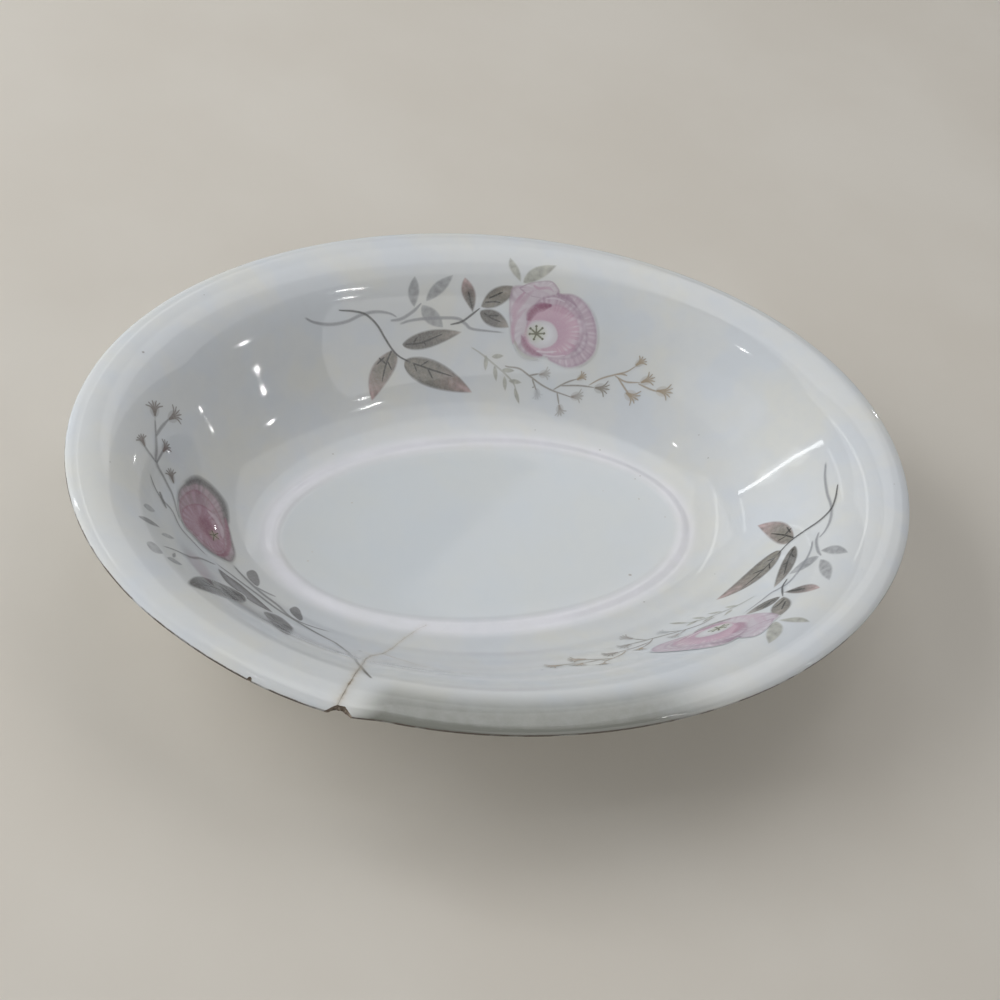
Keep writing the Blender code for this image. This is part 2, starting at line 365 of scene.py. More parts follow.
def bowl_grid():
    """The whole bowl: points, faces and, for each point, its length of profile from the rim's edge."""
    inner = inner_profile()
    lip = lip_profile()
    profile = np.array(inner + lip + outer_profile() + foot_profile())
    angles = stations()
    columns = len(angles)
    rings = oval_points(profile[:, 0][:, None], angles[None, :], profile[:, 1][:, None])
    faces = grid_faces(len(profile), columns, closed=True)
    points = rings.reshape(-1, 3)
    lengths = np.concatenate([[0.0], np.cumsum(np.hypot(*np.diff(profile, axis=0).T))])
    from_edge = lengths[len(inner) + LIP_STEPS - 1] - lengths
    marks = np.repeat(from_edge, columns)
    faces += cap_faces(len(points), 0, columns, CAP_RINGS, True)
    floor_cap = cap_points(rings[0], FLOOR_LEVEL, CAP_RINGS)
    base_cap = cap_points(rings[-1], FLOOR_LEVEL - FLOOR_THICKNESS, CAP_RINGS)
    last_ring = len(points) - columns
    faces += cap_faces(len(points) + len(floor_cap), last_ring, columns, CAP_RINGS, False)
    points = np.concatenate([points, floor_cap, base_cap])
    marks = np.concatenate([marks, np.full(len(floor_cap), from_edge[0]),
                            np.full(len(base_cap), from_edge[-1])])
    return points, faces, marks


def path_places(path, wobble):
    """Plan of a crack: its path in small steps, with an uneven sideways wander."""
    turns = np.array([turn for turn, share in path])
    shares = np.array([share for turn, share in path])
    knots = np.arange(len(path))
    fine = np.linspace(0.0, len(path) - 1.0, 10 * len(path))
    turn = np.interp(fine, knots, turns)
    share = np.interp(fine, knots, shares)
    angle = np.radians(CRACK_ANGLE + turn)
    places = oval_points(share * REACH, angle, inner_height(share * REACH))
    for index, place in enumerate(places):
        seed = Vector((fine[index] * 1.9, turns[-1], 0.0))
        place[0] += wobble * noise.noise(seed)
        place[1] += wobble * 0.4 * noise.noise(seed + Vector((0.0, 0.0, 9.0)))
    return places


def crack_paths():
    """Main crack, its branch on the floor and its branch on the wall."""
    return (path_places(CRACK_PATH, CRACK_WANDER), path_places(FLOOR_BRANCH, BRANCH_WANDER),
            path_places(WALL_BRANCH, BRANCH_WANDER))


def crack_cutter(name, places, widths, depths):
    """Upright ribbon along a path on the inside of the bowl, to a depth below its surface."""
    count = len(places)
    points = []
    for index, place in enumerate(places):
        before = places[max(0, index - 1)]
        after = places[min(count - 1, index + 1)]
        along = (after - before)[:2] / np.linalg.norm((after - before)[:2])
        side = np.array([-along[1], along[0], 0.0])
        share = index / (count - 1)
        half = 0.5 * (widths[0] + (widths[1] - widths[0]) * share)
        half *= 1.0 + 0.35 * noise.noise(Vector((index * 0.45, 3.0, 1.0)))
        deep = depths[0] + (depths[1] - depths[0]) * share
        top = np.array([0.0, 0.0, 2.0 * WALL_THICKNESS])
        down = np.array([0.0, 0.0, -deep])
        points += [place + side * half + top, place - side * half + top,
                   place - side * half + down, place + side * half + down]
    faces = grid_faces(count, 4, closed=True)
    faces.append((3, 2, 1, 0))
    last = 4 * (count - 1)
    faces.append((last, last + 1, last + 2, last + 3))
    return cutter_object(name, points, faces)


def chip_cutter(name, outline, depth):
    """Rough-sided block across the rim, cut along an outline from the rim's edge inwards."""
    turns = np.array([turn for turn, share in outline])
    shares = np.array([share for turn, share in outline])
    fine = np.linspace(turns[0], turns[-1], CHIP_STEPS)
    levels = np.linspace(1.6, -1.6, CHIP_LEVELS) * LIP_THICKNESS
    points = []
    for turn in fine:
        angle = math.radians(CRACK_ANGLE + turn)
        share = np.interp(turn, turns, shares)
        for level in levels:
            rough = noise.noise(Vector((turn * 1.6, level * 500.0, 4.0)))
            rough += 0.5 * noise.noise(Vector((turn * 5.0, level * 1500.0, 7.0)))
            inward = share * depth + CHIP_ROUGHNESS * depth * rough * min(1.0, 2.5 * max(0.0, share))
            inward += CHIP_SLANT * max(0.0, -level) * min(1.0, 2.0 * max(0.0, share))
            points.append(oval_points(REACH - inward, angle, RIM_LEVEL + level))
        points.append(oval_points(REACH + depth, angle, RIM_LEVEL + levels[-1]))
        points.append(oval_points(REACH + depth, angle, RIM_LEVEL + levels[0]))
    columns = len(levels) + 2
    faces = grid_faces(len(fine), columns, closed=True)
    last = (len(fine) - 1) * columns
    faces.append(tuple(range(columns))[::-1])
    faces.append(tuple(range(last, last + columns)))
    return cutter_object(name, points, faces)


def flake_cutter(name, angle_degrees, width, depth):
    """Uneven rounded lump across the rim, which leaves a shell-shaped break."""
    rows, columns = 26, 40
    points = []
    for row in range(1, rows):
        tilt = math.pi * row / rows
        for column in range(columns):
            turn = 2.0 * math.pi * column / columns
            points.append(Vector((math.sin(tilt) * math.cos(turn), math.sin(tilt) * math.sin(turn),
                                  math.cos(tilt))))
    points += [Vector((0.0, 0.0, 1.0)), Vector((0.0, 0.0, -1.0))]
    angle = math.radians(angle_degrees)
    edge = oval_points(REACH, angle, RIM_LEVEL)
    beside = oval_points(REACH, angle + 0.01, RIM_LEVEL)
    along = (beside - edge)[:2] / np.linalg.norm((beside - edge)[:2])
    placed = []
    for point in points:
        size = 1.0 + 0.16 * noise.noise(point * 1.7 + Vector((angle_degrees, 0.0, 0.0)))
        size += 0.05 * noise.noise(point * 6.0)
        across = point.x * size * width / 2.0
        inward = point.y * size * depth
        x = edge[0] + along[0] * across - along[1] * inward
        y = edge[1] + along[1] * across + along[0] * inward
        placed.append((x, y, edge[2] + point.z * size * 2.0 * LIP_THICKNESS))
    faces = grid_faces(rows - 1, columns, closed=True)
    top, bottom = len(points) - 2, len(points) - 1
    last = (rows - 2) * columns
    for column in range(columns):
        after = (column + 1) % columns
        faces.append((top, after, column))
        faces.append((bottom, last + column, last + after))
    return cutter_object(name, placed, faces)


def cutter_object(name, points, faces):
    item = add_object(name, mesh_from(name, points, faces))
    item.data.materials.append(bpy.data.materials["broken_edge"])
    if signed_volume(item.data) < 0.0:
        item.data.flip_normals()
    return item


def signed_volume(mesh):
    """Six times the volume inside a closed mesh, negative if its faces point inwards."""
    total = 0.0
    for face in mesh.polygons:
        corners = [mesh.vertices[index].co for index in face.vertices]
        for second, third in zip(corners[1:], corners[2:]):
            total += corners[0].dot(second.cross(third))
    return total


def distance_to(places, points):
    """Distance in plan of each point from a path, and the share of the path at the nearest place."""
    best = np.full(len(points), 1e9)
    share = np.zeros(len(points))
    count = len(places) - 1
    for index in range(count):
        start, end = places[index][:2], places[index + 1][:2]
        run = end - start
        along = np.clip(((points[:, :2] - start) @ run) / (run @ run), 0.0, 1.0)
        away = np.linalg.norm(points[:, :2] - start - along[:, None] * run, axis=1)
        nearer = away < best
        best[nearer] = away[nearer]
        share[nearer] = (index + along[nearer]) / count
    return best, share


def add_attribute(mesh, name, values):
    attribute = mesh.attributes.new(name, 'FLOAT', 'POINT')
    attribute.data.foreach_set("value", np.asarray(values, dtype=np.float32))


def build_bowl():
    points, faces, marks = bowl_grid()
    bowl = add_object("bowl_body", mesh_from("bowl_body", points, faces))
    if signed_volume(bowl.data) < 0.0:
        bowl.data.flip_normals()
    bowl.data.materials.append(bpy.data.materials["glaze"])
    main, floor_branch, wall_branch = crack_paths()
    through = 3.0 * WALL_THICKNESS
    cutters = [
        crack_cutter("crack", main, (CRACK_WIDTH, HAIRLINE_WIDTH), (through, HAIRLINE_DEPTH)),
        crack_cutter("floor_branch", floor_branch, (HAIRLINE_WIDTH, 0.5 * HAIRLINE_WIDTH),
                     (HAIRLINE_DEPTH, 0.5 * HAIRLINE_DEPTH)),
        crack_cutter("wall_branch", wall_branch, (HAIRLINE_WIDTH, 0.5 * HAIRLINE_WIDTH),
                     (HAIRLINE_DEPTH, 0.5 * HAIRLINE_DEPTH)),
        chip_cutter("chip", CHIP_OUTLINE, CHIP_DEPTH),
        flake_cutter("nick", NICK_ANGLE, NICK_WIDTH, NICK_DEPTH),
    ]
    for cutter in cutters:
        modifier = bowl.modifiers.new(cutter.name, 'BOOLEAN')
        modifier.operation = 'DIFFERENCE'
        modifier.solver = 'EXACT'
        modifier.object = cutter
        modifier.material_mode = 'TRANSFER'
    bpy.context.view_layer.update()
    shaped = bpy.data.meshes.new_from_object(bowl.evaluated_get(bpy.context.evaluated_depsgraph_get()))
    bowl.modifiers.clear()
    bowl.data = shaped
    for cutter in cutters:
        bpy.data.objects.remove(cutter, do_unlink=True)
    mark_bowl(shaped, points, marks, (main, floor_branch, wall_branch))
    shaped.shade_smooth()
    shaped.set_sharp_from_angle(angle=math.radians(SHARP_ANGLE))
    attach(bowl, "root")
    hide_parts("bowl")


def crack_stain(places, paths):
    """Share of stain at places near the crack, and their distances from its main line."""
    main, floor_branch, wall_branch = paths
    from_main, share = distance_to(main, places)
    strength = np.interp(share, STAIN_SHARES, STAIN_STRENGTHS)
    halo = np.exp(-(from_main / STAIN_HALO) ** 1.3) * 0.55
    core = np.exp(-(from_main / STAIN_CORE) ** 2.0) * 0.9
    stain = strength * np.maximum(halo, core)
    for branch, fade in ((floor_branch, FLOOR_BRANCH_FADE), (wall_branch, WALL_BRANCH_FADE)):
        away, share = distance_to(branch, places)
        strength = fade[0] + (fade[1] - fade[0]) * share
        line = np.exp(-(away / BRANCH_CORE) ** 1.6) * 0.8 + np.exp(-(away / BRANCH_HALO) ** 2.0) * 0.22
        stain = np.maximum(stain, strength * line)
    return stain, from_main


def floor_offset(places):
    """Distances outside the floor's oval, measured along the wall's own rays."""
    low = np.full(len(places), -0.5 * FLOOR_WIDTH)
    high = np.full(len(places), 2.0 * REACH)
    halvings = 40
    for _ in range(halvings):
        middle = 0.5 * (low + high)
        half_length, half_width = half_axes(middle)
        size = np.abs(places[:, 0] / np.maximum(half_length, 1e-6)) ** OVAL_POWER
        size += np.abs(places[:, 1] / np.maximum(half_width, 1e-6)) ** OVAL_POWER
        low = np.where(size > 1.0, middle, low)
        high = np.where(size > 1.0, high, middle)
    return 0.5 * (low + high)


def mark_bowl(mesh, points, marks, paths):
    """Gives each point its distance from the rim's edge and its shares of stain, painted pale ring, tint
    and painted shade on the front lip.
    """
    tree = kdtree.KDTree(len(points))
    for index, point in enumerate(points):
        tree.insert(point, index)
    tree.balance()
    nearest = np.array([tree.find(vert.co)[1] for vert in mesh.vertices])
    places = np.array([vert.co for vert in mesh.vertices])
    from_edge = marks[nearest]
    stain = crack_stain(places, paths)[0]
    stain[from_edge < -OUTSIDE_FROM] *= OUTSIDE_STAIN
    add_attribute(mesh, "stain", stain)
    add_attribute(mesh, "edge", from_edge * 1000.0)
    add_attribute(mesh, "foot", np.clip((BARE_FOOT - places[:, 2]) / BARE_FOOT_FADE, 0.0, 1.0))
    inside = from_edge > 0.0
    offset = floor_offset(places)
    # Painted highlight: a paler ring on the bead round the floor
    away = np.abs(offset - PALE_RING_MIDDLE) / PALE_RING_WIDTH
    add_attribute(mesh, "painted_ring", np.where(inside, np.exp(-away ** 2.4), 0.0))
    add_attribute(mesh, "floor", np.where(inside, FLOOR_TINT * ease(-offset, 0.0, FLOOR_TINT_FADE), 0.0))
    # Painted shade on the front of the lip, fullest towards its edge, with a darker strip at the very edge
    angle = np.degrees(np.arctan2(places[:, 1] * RIM_LENGTH, places[:, 0] * RIM_WIDTH))
    front = ease(angle, LIP_SHADE_SPAN[0], LIP_SHADE_SPAN[0] + LIP_SHADE_FADES[0])
    front *= ease(-angle, -LIP_SHADE_SPAN[1], LIP_SHADE_FADES[1] - LIP_SHADE_SPAN[1])
    edge = 0.95 * ease(-from_edge, -LIP_SHADE_WIDTH, -LIP_SHADE_FULL) + 0.3 * ease(-from_edge, -LIP_EDGE_SHADE, 0.0)
    add_attribute(mesh, "painted_shade", np.where(inside, front * edge, 0.0))


# Materials

def scene_linear(values):
    """Scene-linear shares of ordinary 0 to 255 screen values."""
    shares = (np.asarray(values, dtype=float) / 255.0).clip(0.0, 1.0)
    return np.where(shares <= 0.04045, shares / 12.92, ((shares + 0.055) / 1.055) ** 2.4)


def linear(red, green, blue):
    """Scene-linear colour of an ordinary 0 to 255 screen colour."""
    return (*scene_linear((red, green, blue)).tolist(), 1.0)


def new_material(name):
    """Nodes of a new material, and its shader."""
    material = bpy.data.materials.new(name)
    material.use_nodes = True
    tree = material.node_tree
    return tree, tree.nodes["Principled BSDF"]


def add_node(tree, kind, **values):
    node = tree.nodes.new(kind)
    for name, value in values.items():
        setattr(node, name, value)
    return node


def noise_node(tree, scale, detail, roughness=0.5, distortion=0.0):
    node = add_node(tree, "ShaderNodeTexNoise")
    place = add_node(tree, "ShaderNodeTexCoord")
    tree.links.new(place.outputs["Object"], node.inputs["Vector"])
    node.inputs["Scale"].default_value = scale
    node.inputs["Detail"].default_value = detail
    node.inputs["Roughness"].default_value = roughness
    node.inputs["Distortion"].default_value = distortion
    return node.outputs["Fac"]


def ramp_node(tree, value, stops, interpolation='EASE'):
    node = add_node(tree, "ShaderNodeValToRGB")
    node.color_ramp.interpolation = interpolation
    while len(node.color_ramp.elements) < len(stops):
        node.color_ramp.elements.new(0.5)
    for element, (position, colour) in zip(node.color_ramp.elements, stops):
        element.position = position
        element.color = colour
    tree.links.new(value, node.inputs["Fac"])
    return node.outputs["Color"]


def feed(tree, socket, value):
    """Links an output to a socket, or sets the socket to a plain value."""
    if isinstance(value, bpy.types.NodeSocket):
        tree.links.new(value, socket)
    else:
        socket.default_value = value


def mix_node(tree, factor, first, second):
    node = add_node(tree, "ShaderNodeMix", data_type='RGBA')
    for index, value in ((0, factor), (6, first), (7, second)):
        feed(tree, node.inputs[index], value)
    return node.outputs[2]


def math_node(tree, operation, first, second=0.0, clamp=False):
    node = add_node(tree, "ShaderNodeMath", operation=operation, use_clamp=clamp)
    for socket, value in zip(node.inputs, (first, second)):
        feed(tree, socket, value)
    return node.outputs[0]


def range_node(tree, value, low, high, to_low=0.0, to_high=1.0):
    node = add_node(tree, "ShaderNodeMapRange")
    tree.links.new(value, node.inputs["Value"])
    node.inputs["From Min"].default_value = low
    node.inputs["From Max"].default_value = high
    node.inputs["To Min"].default_value = to_low
    node.inputs["To Max"].default_value = to_high
    return node.outputs["Result"]


def attribute_node(tree, name, output="Fac"):
    return add_node(tree, "ShaderNodeAttribute", attribute_name=name).outputs[output]


def add_bump(tree, shader, height, strength, distance):
    bump = add_node(tree, "ShaderNodeBump")
    bump.inputs["Strength"].default_value = strength
    bump.inputs["Distance"].default_value = distance
    tree.links.new(height, bump.inputs["Height"])
    tree.links.new(bump.outputs["Normal"], shader.inputs["Normal"])


GLAZE_BLUE = linear(208, 212, 216)
GLAZE_GREY = linear(212, 214, 214)
GLAZE_CREAM = linear(215, 215, 210)
GLAZE_SHADE = linear(202, 205, 208)
# Painted highlight: colour of the pale ring on the bead round the floor
PAINTED_RING_LIGHT = linear(231, 230, 236)
GLAZE_FLOOR = linear(204, 211, 215)
# Painted shade: colour of the darkened front of the lip
PAINTED_LIP_SHADE = linear(128, 129, 120)
STAIN_LIGHT = linear(190, 178, 158)
STAIN_DARK = linear(138, 126, 108)
EDGE_DARK = linear(84, 74, 66)
BISCUIT = linear(214, 206, 192)
BREAK_DARK = linear(58, 48, 40)
BREAK_MIDDLE = linear(112, 100, 88)
BREAK_PALE = linear(176, 166, 152)
TABLE_SHADES = [(0.3, linear(216, 209, 198)), (0.7, linear(222, 216, 206))]


def glaze_colour(tree):
    """Soft uneven white of the fired glaze: broad bluish and creamy clouds and faint streaks."""
    stops = [(0.36, GLAZE_BLUE), (0.50, GLAZE_GREY), (0.66, GLAZE_CREAM)]
    broad = ramp_node(tree, noise_node(tree, 46.0, 3.0), stops)
    fine = range_node(tree, noise_node(tree, 170.0, 4.0, 0.6), 0.42, 0.78, 0.0, 0.30)
    return mix_node(tree, fine, broad, GLAZE_SHADE)


def glaze_surface(tree, shader):
    """Gloss with faint smears, and the slight waves of a poured glaze."""
    smear = range_node(tree, noise_node(tree, 60.0, 6.0, 0.65, 0.4), 0.35, 0.75, 0.035, 0.095)
    tree.links.new(smear, shader.inputs["Roughness"])
    shader.inputs["IOR"].default_value = 1.52
    ripples = math_node(tree, 'MULTIPLY', noise_node(tree, 700.0, 2.0), 0.05)
    waves = math_node(tree, 'ADD', noise_node(tree, 90.0, 2.0), ripples)
    add_bump(tree, shader, waves, 0.25, 0.0001)


def stain_over(tree, colour):
    """Patchy brown stain over a colour, and its amount."""
    patches = range_node(tree, noise_node(tree, 620.0, 4.0, 0.6), 0.30, 0.66, 0.45, 1.25)
    amount = math_node(tree, 'MULTIPLY', attribute_node(tree, "stain"), patches, clamp=True)
    dark = range_node(tree, amount, 0.45, 0.95)
    return mix_node(tree, amount, colour, mix_node(tree, dark, STAIN_LIGHT, STAIN_DARK)), amount


def make_glaze():
    """White glaze with its painted pale ring round the floor, painted shade on the front lip, stain, worn
    dark edge line and bare foot.
    """
    tree, shader = new_material("glaze")
    # Painted highlight: the pale ring round the floor, a little uneven
    cloud = range_node(tree, noise_node(tree, 75.0, 4.0, 0.6, 0.5), 0.3, 0.7, 0.55, 1.0)
    painted_ring = math_node(tree, 'MULTIPLY', attribute_node(tree, "painted_ring"), cloud, clamp=True)
    body = mix_node(tree, attribute_node(tree, "floor"), glaze_colour(tree), GLAZE_FLOOR)
    body = mix_node(tree, painted_ring, body, PAINTED_RING_LIGHT)
    # Painted shade on the front lip, a little uneven
    shade_variation = range_node(tree, noise_node(tree, 300.0, 3.0, 0.6), 0.3, 0.7, 0.9, 1.0)
    lip_shade_amount = math_node(tree, 'MULTIPLY', attribute_node(tree, "painted_shade"), shade_variation, clamp=True)
    colour, amount = stain_over(tree, mix_node(tree, lip_shade_amount, body, PAINTED_LIP_SHADE))
    edge = math_node(tree, 'ABSOLUTE', math_node(tree, 'ADD', attribute_node(tree, "edge"), 0.05))
    ragged = math_node(tree, 'MULTIPLY', noise_node(tree, 420.0, 5.0, 0.7), 0.55)
    line = range_node(tree, math_node(tree, 'ADD', edge, ragged), 0.55, 0.80, 1.0, 0.0)
    worn = range_node(tree, noise_node(tree, 95.0, 3.0, 0.6), 0.38, 0.50, 0.25, 1.0)
    band = math_node(tree, 'MULTIPLY', line, worn, clamp=True)
    colour = mix_node(tree, band, colour, EDGE_DARK)
    foot = attribute_node(tree, "foot")
    colour = mix_node(tree, foot, colour, BISCUIT)
    tree.links.new(colour, shader.inputs["Base Color"])
    glaze_surface(tree, shader)
    smooth = shader.inputs["Roughness"].links[0].from_socket
    bare = math_node(tree, 'MULTIPLY', math_node(tree, 'MAXIMUM', foot, band), 0.45)
    rough = math_node(tree, 'ADD', smooth, bare)
    stained = math_node(tree, 'ADD', rough, math_node(tree, 'MULTIPLY', amount, 0.3), clamp=True)
    tree.links.new(stained, shader.inputs["Roughness"])


def make_broken_edge():
    """Bare grainy body of the porcelain in the chip and the crack, darkened by dirt."""
    tree, shader = new_material("broken_edge")
    grain = noise_node(tree, 900.0, 6.0, 0.7)
    stops = [(0.32, BREAK_DARK), (0.5, BREAK_MIDDLE), (0.7, BREAK_PALE)]
    tree.links.new(ramp_node(tree, grain, stops), shader.inputs["Base Color"])
    shader.inputs["Roughness"].default_value = 0.85
    add_bump(tree, shader, grain, 0.8, 0.0002)


def make_print():
    """Thin print in the glaze: its colours and cover are on the points of the pieces."""
    tree, shader = new_material("print")
    cover = attribute_node(tree, "cover")
    grain = range_node(tree, noise_node(tree, 1500.0, 3.0, 0.7), 0.25, 0.75, 0.86, 1.08)
    amount = math_node(tree, 'MULTIPLY', cover, grain, clamp=True)
    colour = mix_node(tree, amount, glaze_colour(tree), attribute_node(tree, "paint", "Color"))
    tree.links.new(stain_over(tree, colour)[0], shader.inputs["Base Color"])
    glaze_surface(tree, shader)


def make_floor():
    tree, shader = new_material("table")
    shade = ramp_node(tree, noise_node(tree, 9.0, 4.0), TABLE_SHADES)
    tree.links.new(shade, shader.inputs["Base Color"])
    shader.inputs["Roughness"].default_value = 0.7


# Printed sprays. Plans are in millimetres, across and up the wall from the middle of each rose.

# Place of each spray: degrees round the oval, millimetres up the wall, turn in degrees, arch in
# millimetres, stretch along and up the wall
BACK_PLACE = (70.3, 38.2, 0.0, 0.0, 1.0, 1.0)
RIGHT_PLACE = (-61.2, 39.4, -3.1, -4.5, 1.046, 0.92)
LEFT_PLACE = (-186.2, 18.1, 0.0, 0.0, 1.0, 1.0)
# Distance from the rose at which the arch has its full height, and the share of it left of the rose
ARCH_SPAN = 50.0
ARCH_LEFT = 0.2
# How far the print lies over the glaze in metres: the lowest sheet, each layer above it, each shape
LIFT_FIRST = 0.00002
LIFT_LAYER = 0.000014
LIFT_SHAPE = 0.0000004
# Flat record of the print: size of a cell and place of its corner in millimetres, and cells each way
CANVAS_STEP = 0.1
CANVAS_START = (-92.0, -45.0)
CANVAS_CELLS = (1600, 1100)
# Points across a stroke and across a leaf
STROKE_COLUMNS = 7
LEAF_COLUMNS = 19

# Colours of the print, as ordinary 0 to 255 screen values
STEM_GREY = (136, 137, 141)
STEM_DARK = (54, 52, 52)
STEM_BROWN = (138, 131, 121)
STEM_GOLD = (158, 142, 120)
VEIN = (44, 41, 36)
OLIVE = (120, 114, 102)
OLIVE_PALE = (148, 139, 130)
OLIVE_DEEP = (84, 78, 70)
LEAF_PINK = (172, 146, 144)
LEAF_RIM = (148, 130, 128)
GREY_LEAF = (146, 147, 149)
GREY_PALE = (154, 155, 157)
SAGE = (160, 159, 148)
ROSE_PALE = (198, 184, 193)
ROSE_SOFT = (190, 168, 181)
ROSE_MID = (184, 148, 167)
ROSE_PINK = (194, 158, 175)
ROSE_DEEP = (138, 84, 110)
ROSE_LINE = (152, 124, 143)
ROSE_WHITE = (214, 206, 212)
EYE_WHITE = (218, 219, 222)
STAMEN = (84, 84, 58)
STAMEN_HAZE = (176, 180, 150)
BUD_GOLD = (160, 144, 122)
BUD_GREY = (150, 143, 136)
END_GREY = (118, 117, 118)
END_BROWN = (116, 106, 100)
END_DARK = (82, 78, 76)
END_BLACK = (46, 43, 42)
END_MAUVE = (162, 140, 148)
END_GREEN = (104, 103, 102)
END_CRIMSON = (142, 98, 114)
END_PINK = (168, 134, 148)


def smooth_line(points, count, closed=False):
    """Smooth curve through points, at evenly spread steps between them."""
    points = np.asarray(points, dtype=float)
    if closed:
        padded = np.vstack([points[-1:], points, points[:2]])
        spans = len(points)
    else:
        padded = np.vstack([2.0 * points[0] - points[1], points, 2.0 * points[-1] - points[-2]])
        spans = len(points) - 1
    steps = np.linspace(0.0, spans, count, endpoint=not closed)
    index = np.minimum(steps.astype(int), spans - 1)
    part = (steps - index)[:, None]
    before, first, second, after = (padded[index + shift] for shift in range(4))
    return 0.5 * (2.0 * first + (second - before) * part
                  + (2.0 * before - 5.0 * first + 4.0 * second - after) * part ** 2
                  + (3.0 * first - before - 3.0 * second + after) * part ** 3)


def ease(value, low, high):
    """0 below low, 1 above high, and a soft step between."""
    part = np.clip((np.asarray(value, dtype=float) - low) / (high - low), 0.0, 1.0)
    return part * part * (3.0 - 2.0 * part)


def blend_colours(first, second, share):
    first, second = np.asarray(first, dtype=float), np.asarray(second, dtype=float)
    share = np.asarray(share)[..., None]
    return first * (1.0 - share) + second * share


def round_noise(count, scale, seed):
    """Smooth uneven values from -1 to 1 round a closed line."""
    values = []
    for index in range(count):
        turn = 2.0 * math.pi * index / count
        values.append(noise.noise(Vector((math.cos(turn) * scale, math.sin(turn) * scale, seed))))
    return np.array(values)


def plan_noise(plan, scale):
    """Smooth uneven values from about -1 to 1 at points of a plan."""
    flat = plan.reshape(-1, 2)
    values = [noise.noise(Vector((point[0] * scale, point[1] * scale, 5.0))) for point in flat]
    return 2.0 * np.array(values).reshape(plan.shape[:-1])


class Canvas:
    """Flat record of the print, in small cells of the plan, for what shows through a soft edge."""

    def __init__(self):
        self.cover = np.zeros(CANVAS_CELLS)
        self.paint = np.zeros(CANVAS_CELLS + (3,))

    def cells(self, plan):
        """Indices across and up the wall of the cells that points of the plan lie in."""
        return [((plan[..., axis] - CANVAS_START[axis]) / CANVAS_STEP).astype(int).clip(0, cells - 1)
                for axis, cells in enumerate(CANVAS_CELLS)]

    def over(self, plan, paint, cover):
        """Colours and cover of a shape together with what lies under it."""
        across, rise = self.cells(plan)
        under = self.cover[across, rise] * (1.0 - cover)
        total = cover + under
        mixed = paint * cover[..., None] + self.paint[across, rise] * under[..., None]
        mixed = mixed / np.maximum(total, 1e-9)[..., None]
        return np.where(total[..., None] > 1e-4, mixed, paint), total

    def lay(self, plan, paint, cover, closed):
        """Records a shape, at steps finer than the cells."""
        values = np.concatenate([plan, paint, cover[..., None]], axis=-1)
        if closed:
            values = np.concatenate([values, values[:, :1]], axis=1)
            middle = values[:1].mean(axis=1, keepdims=True)
            values = np.concatenate([np.broadcast_to(middle, values[:1].shape), values], axis=0)
        for axis in (0, 1):
            gaps = np.linalg.norm(np.diff(values[..., :2], axis=axis), axis=-1)
            values = finer(values, axis, int(np.ceil(gaps.max() / (0.7 * CANVAS_STEP))))
        mixed, total = self.over(values[..., :2], values[..., 2:5], values[..., 5])
        across, rise = self.cells(values[..., :2])
        self.paint[across, rise] = mixed
        self.cover[across, rise] = total


def finer(values, axis, times):
    """Grid of values with each gap along an axis divided into equal steps."""
    count = values.shape[axis]
    steps = np.linspace(0.0, count - 1.0, (count - 1) * max(1, times) + 1)
    first = np.minimum(steps.astype(int), count - 2)
    shape = [1] * values.ndim
    shape[axis] = len(steps)
    part = (steps - first).reshape(shape)
    return np.take(values, first, axis=axis) * (1.0 - part) + np.take(values, first + 1, axis=axis) * part


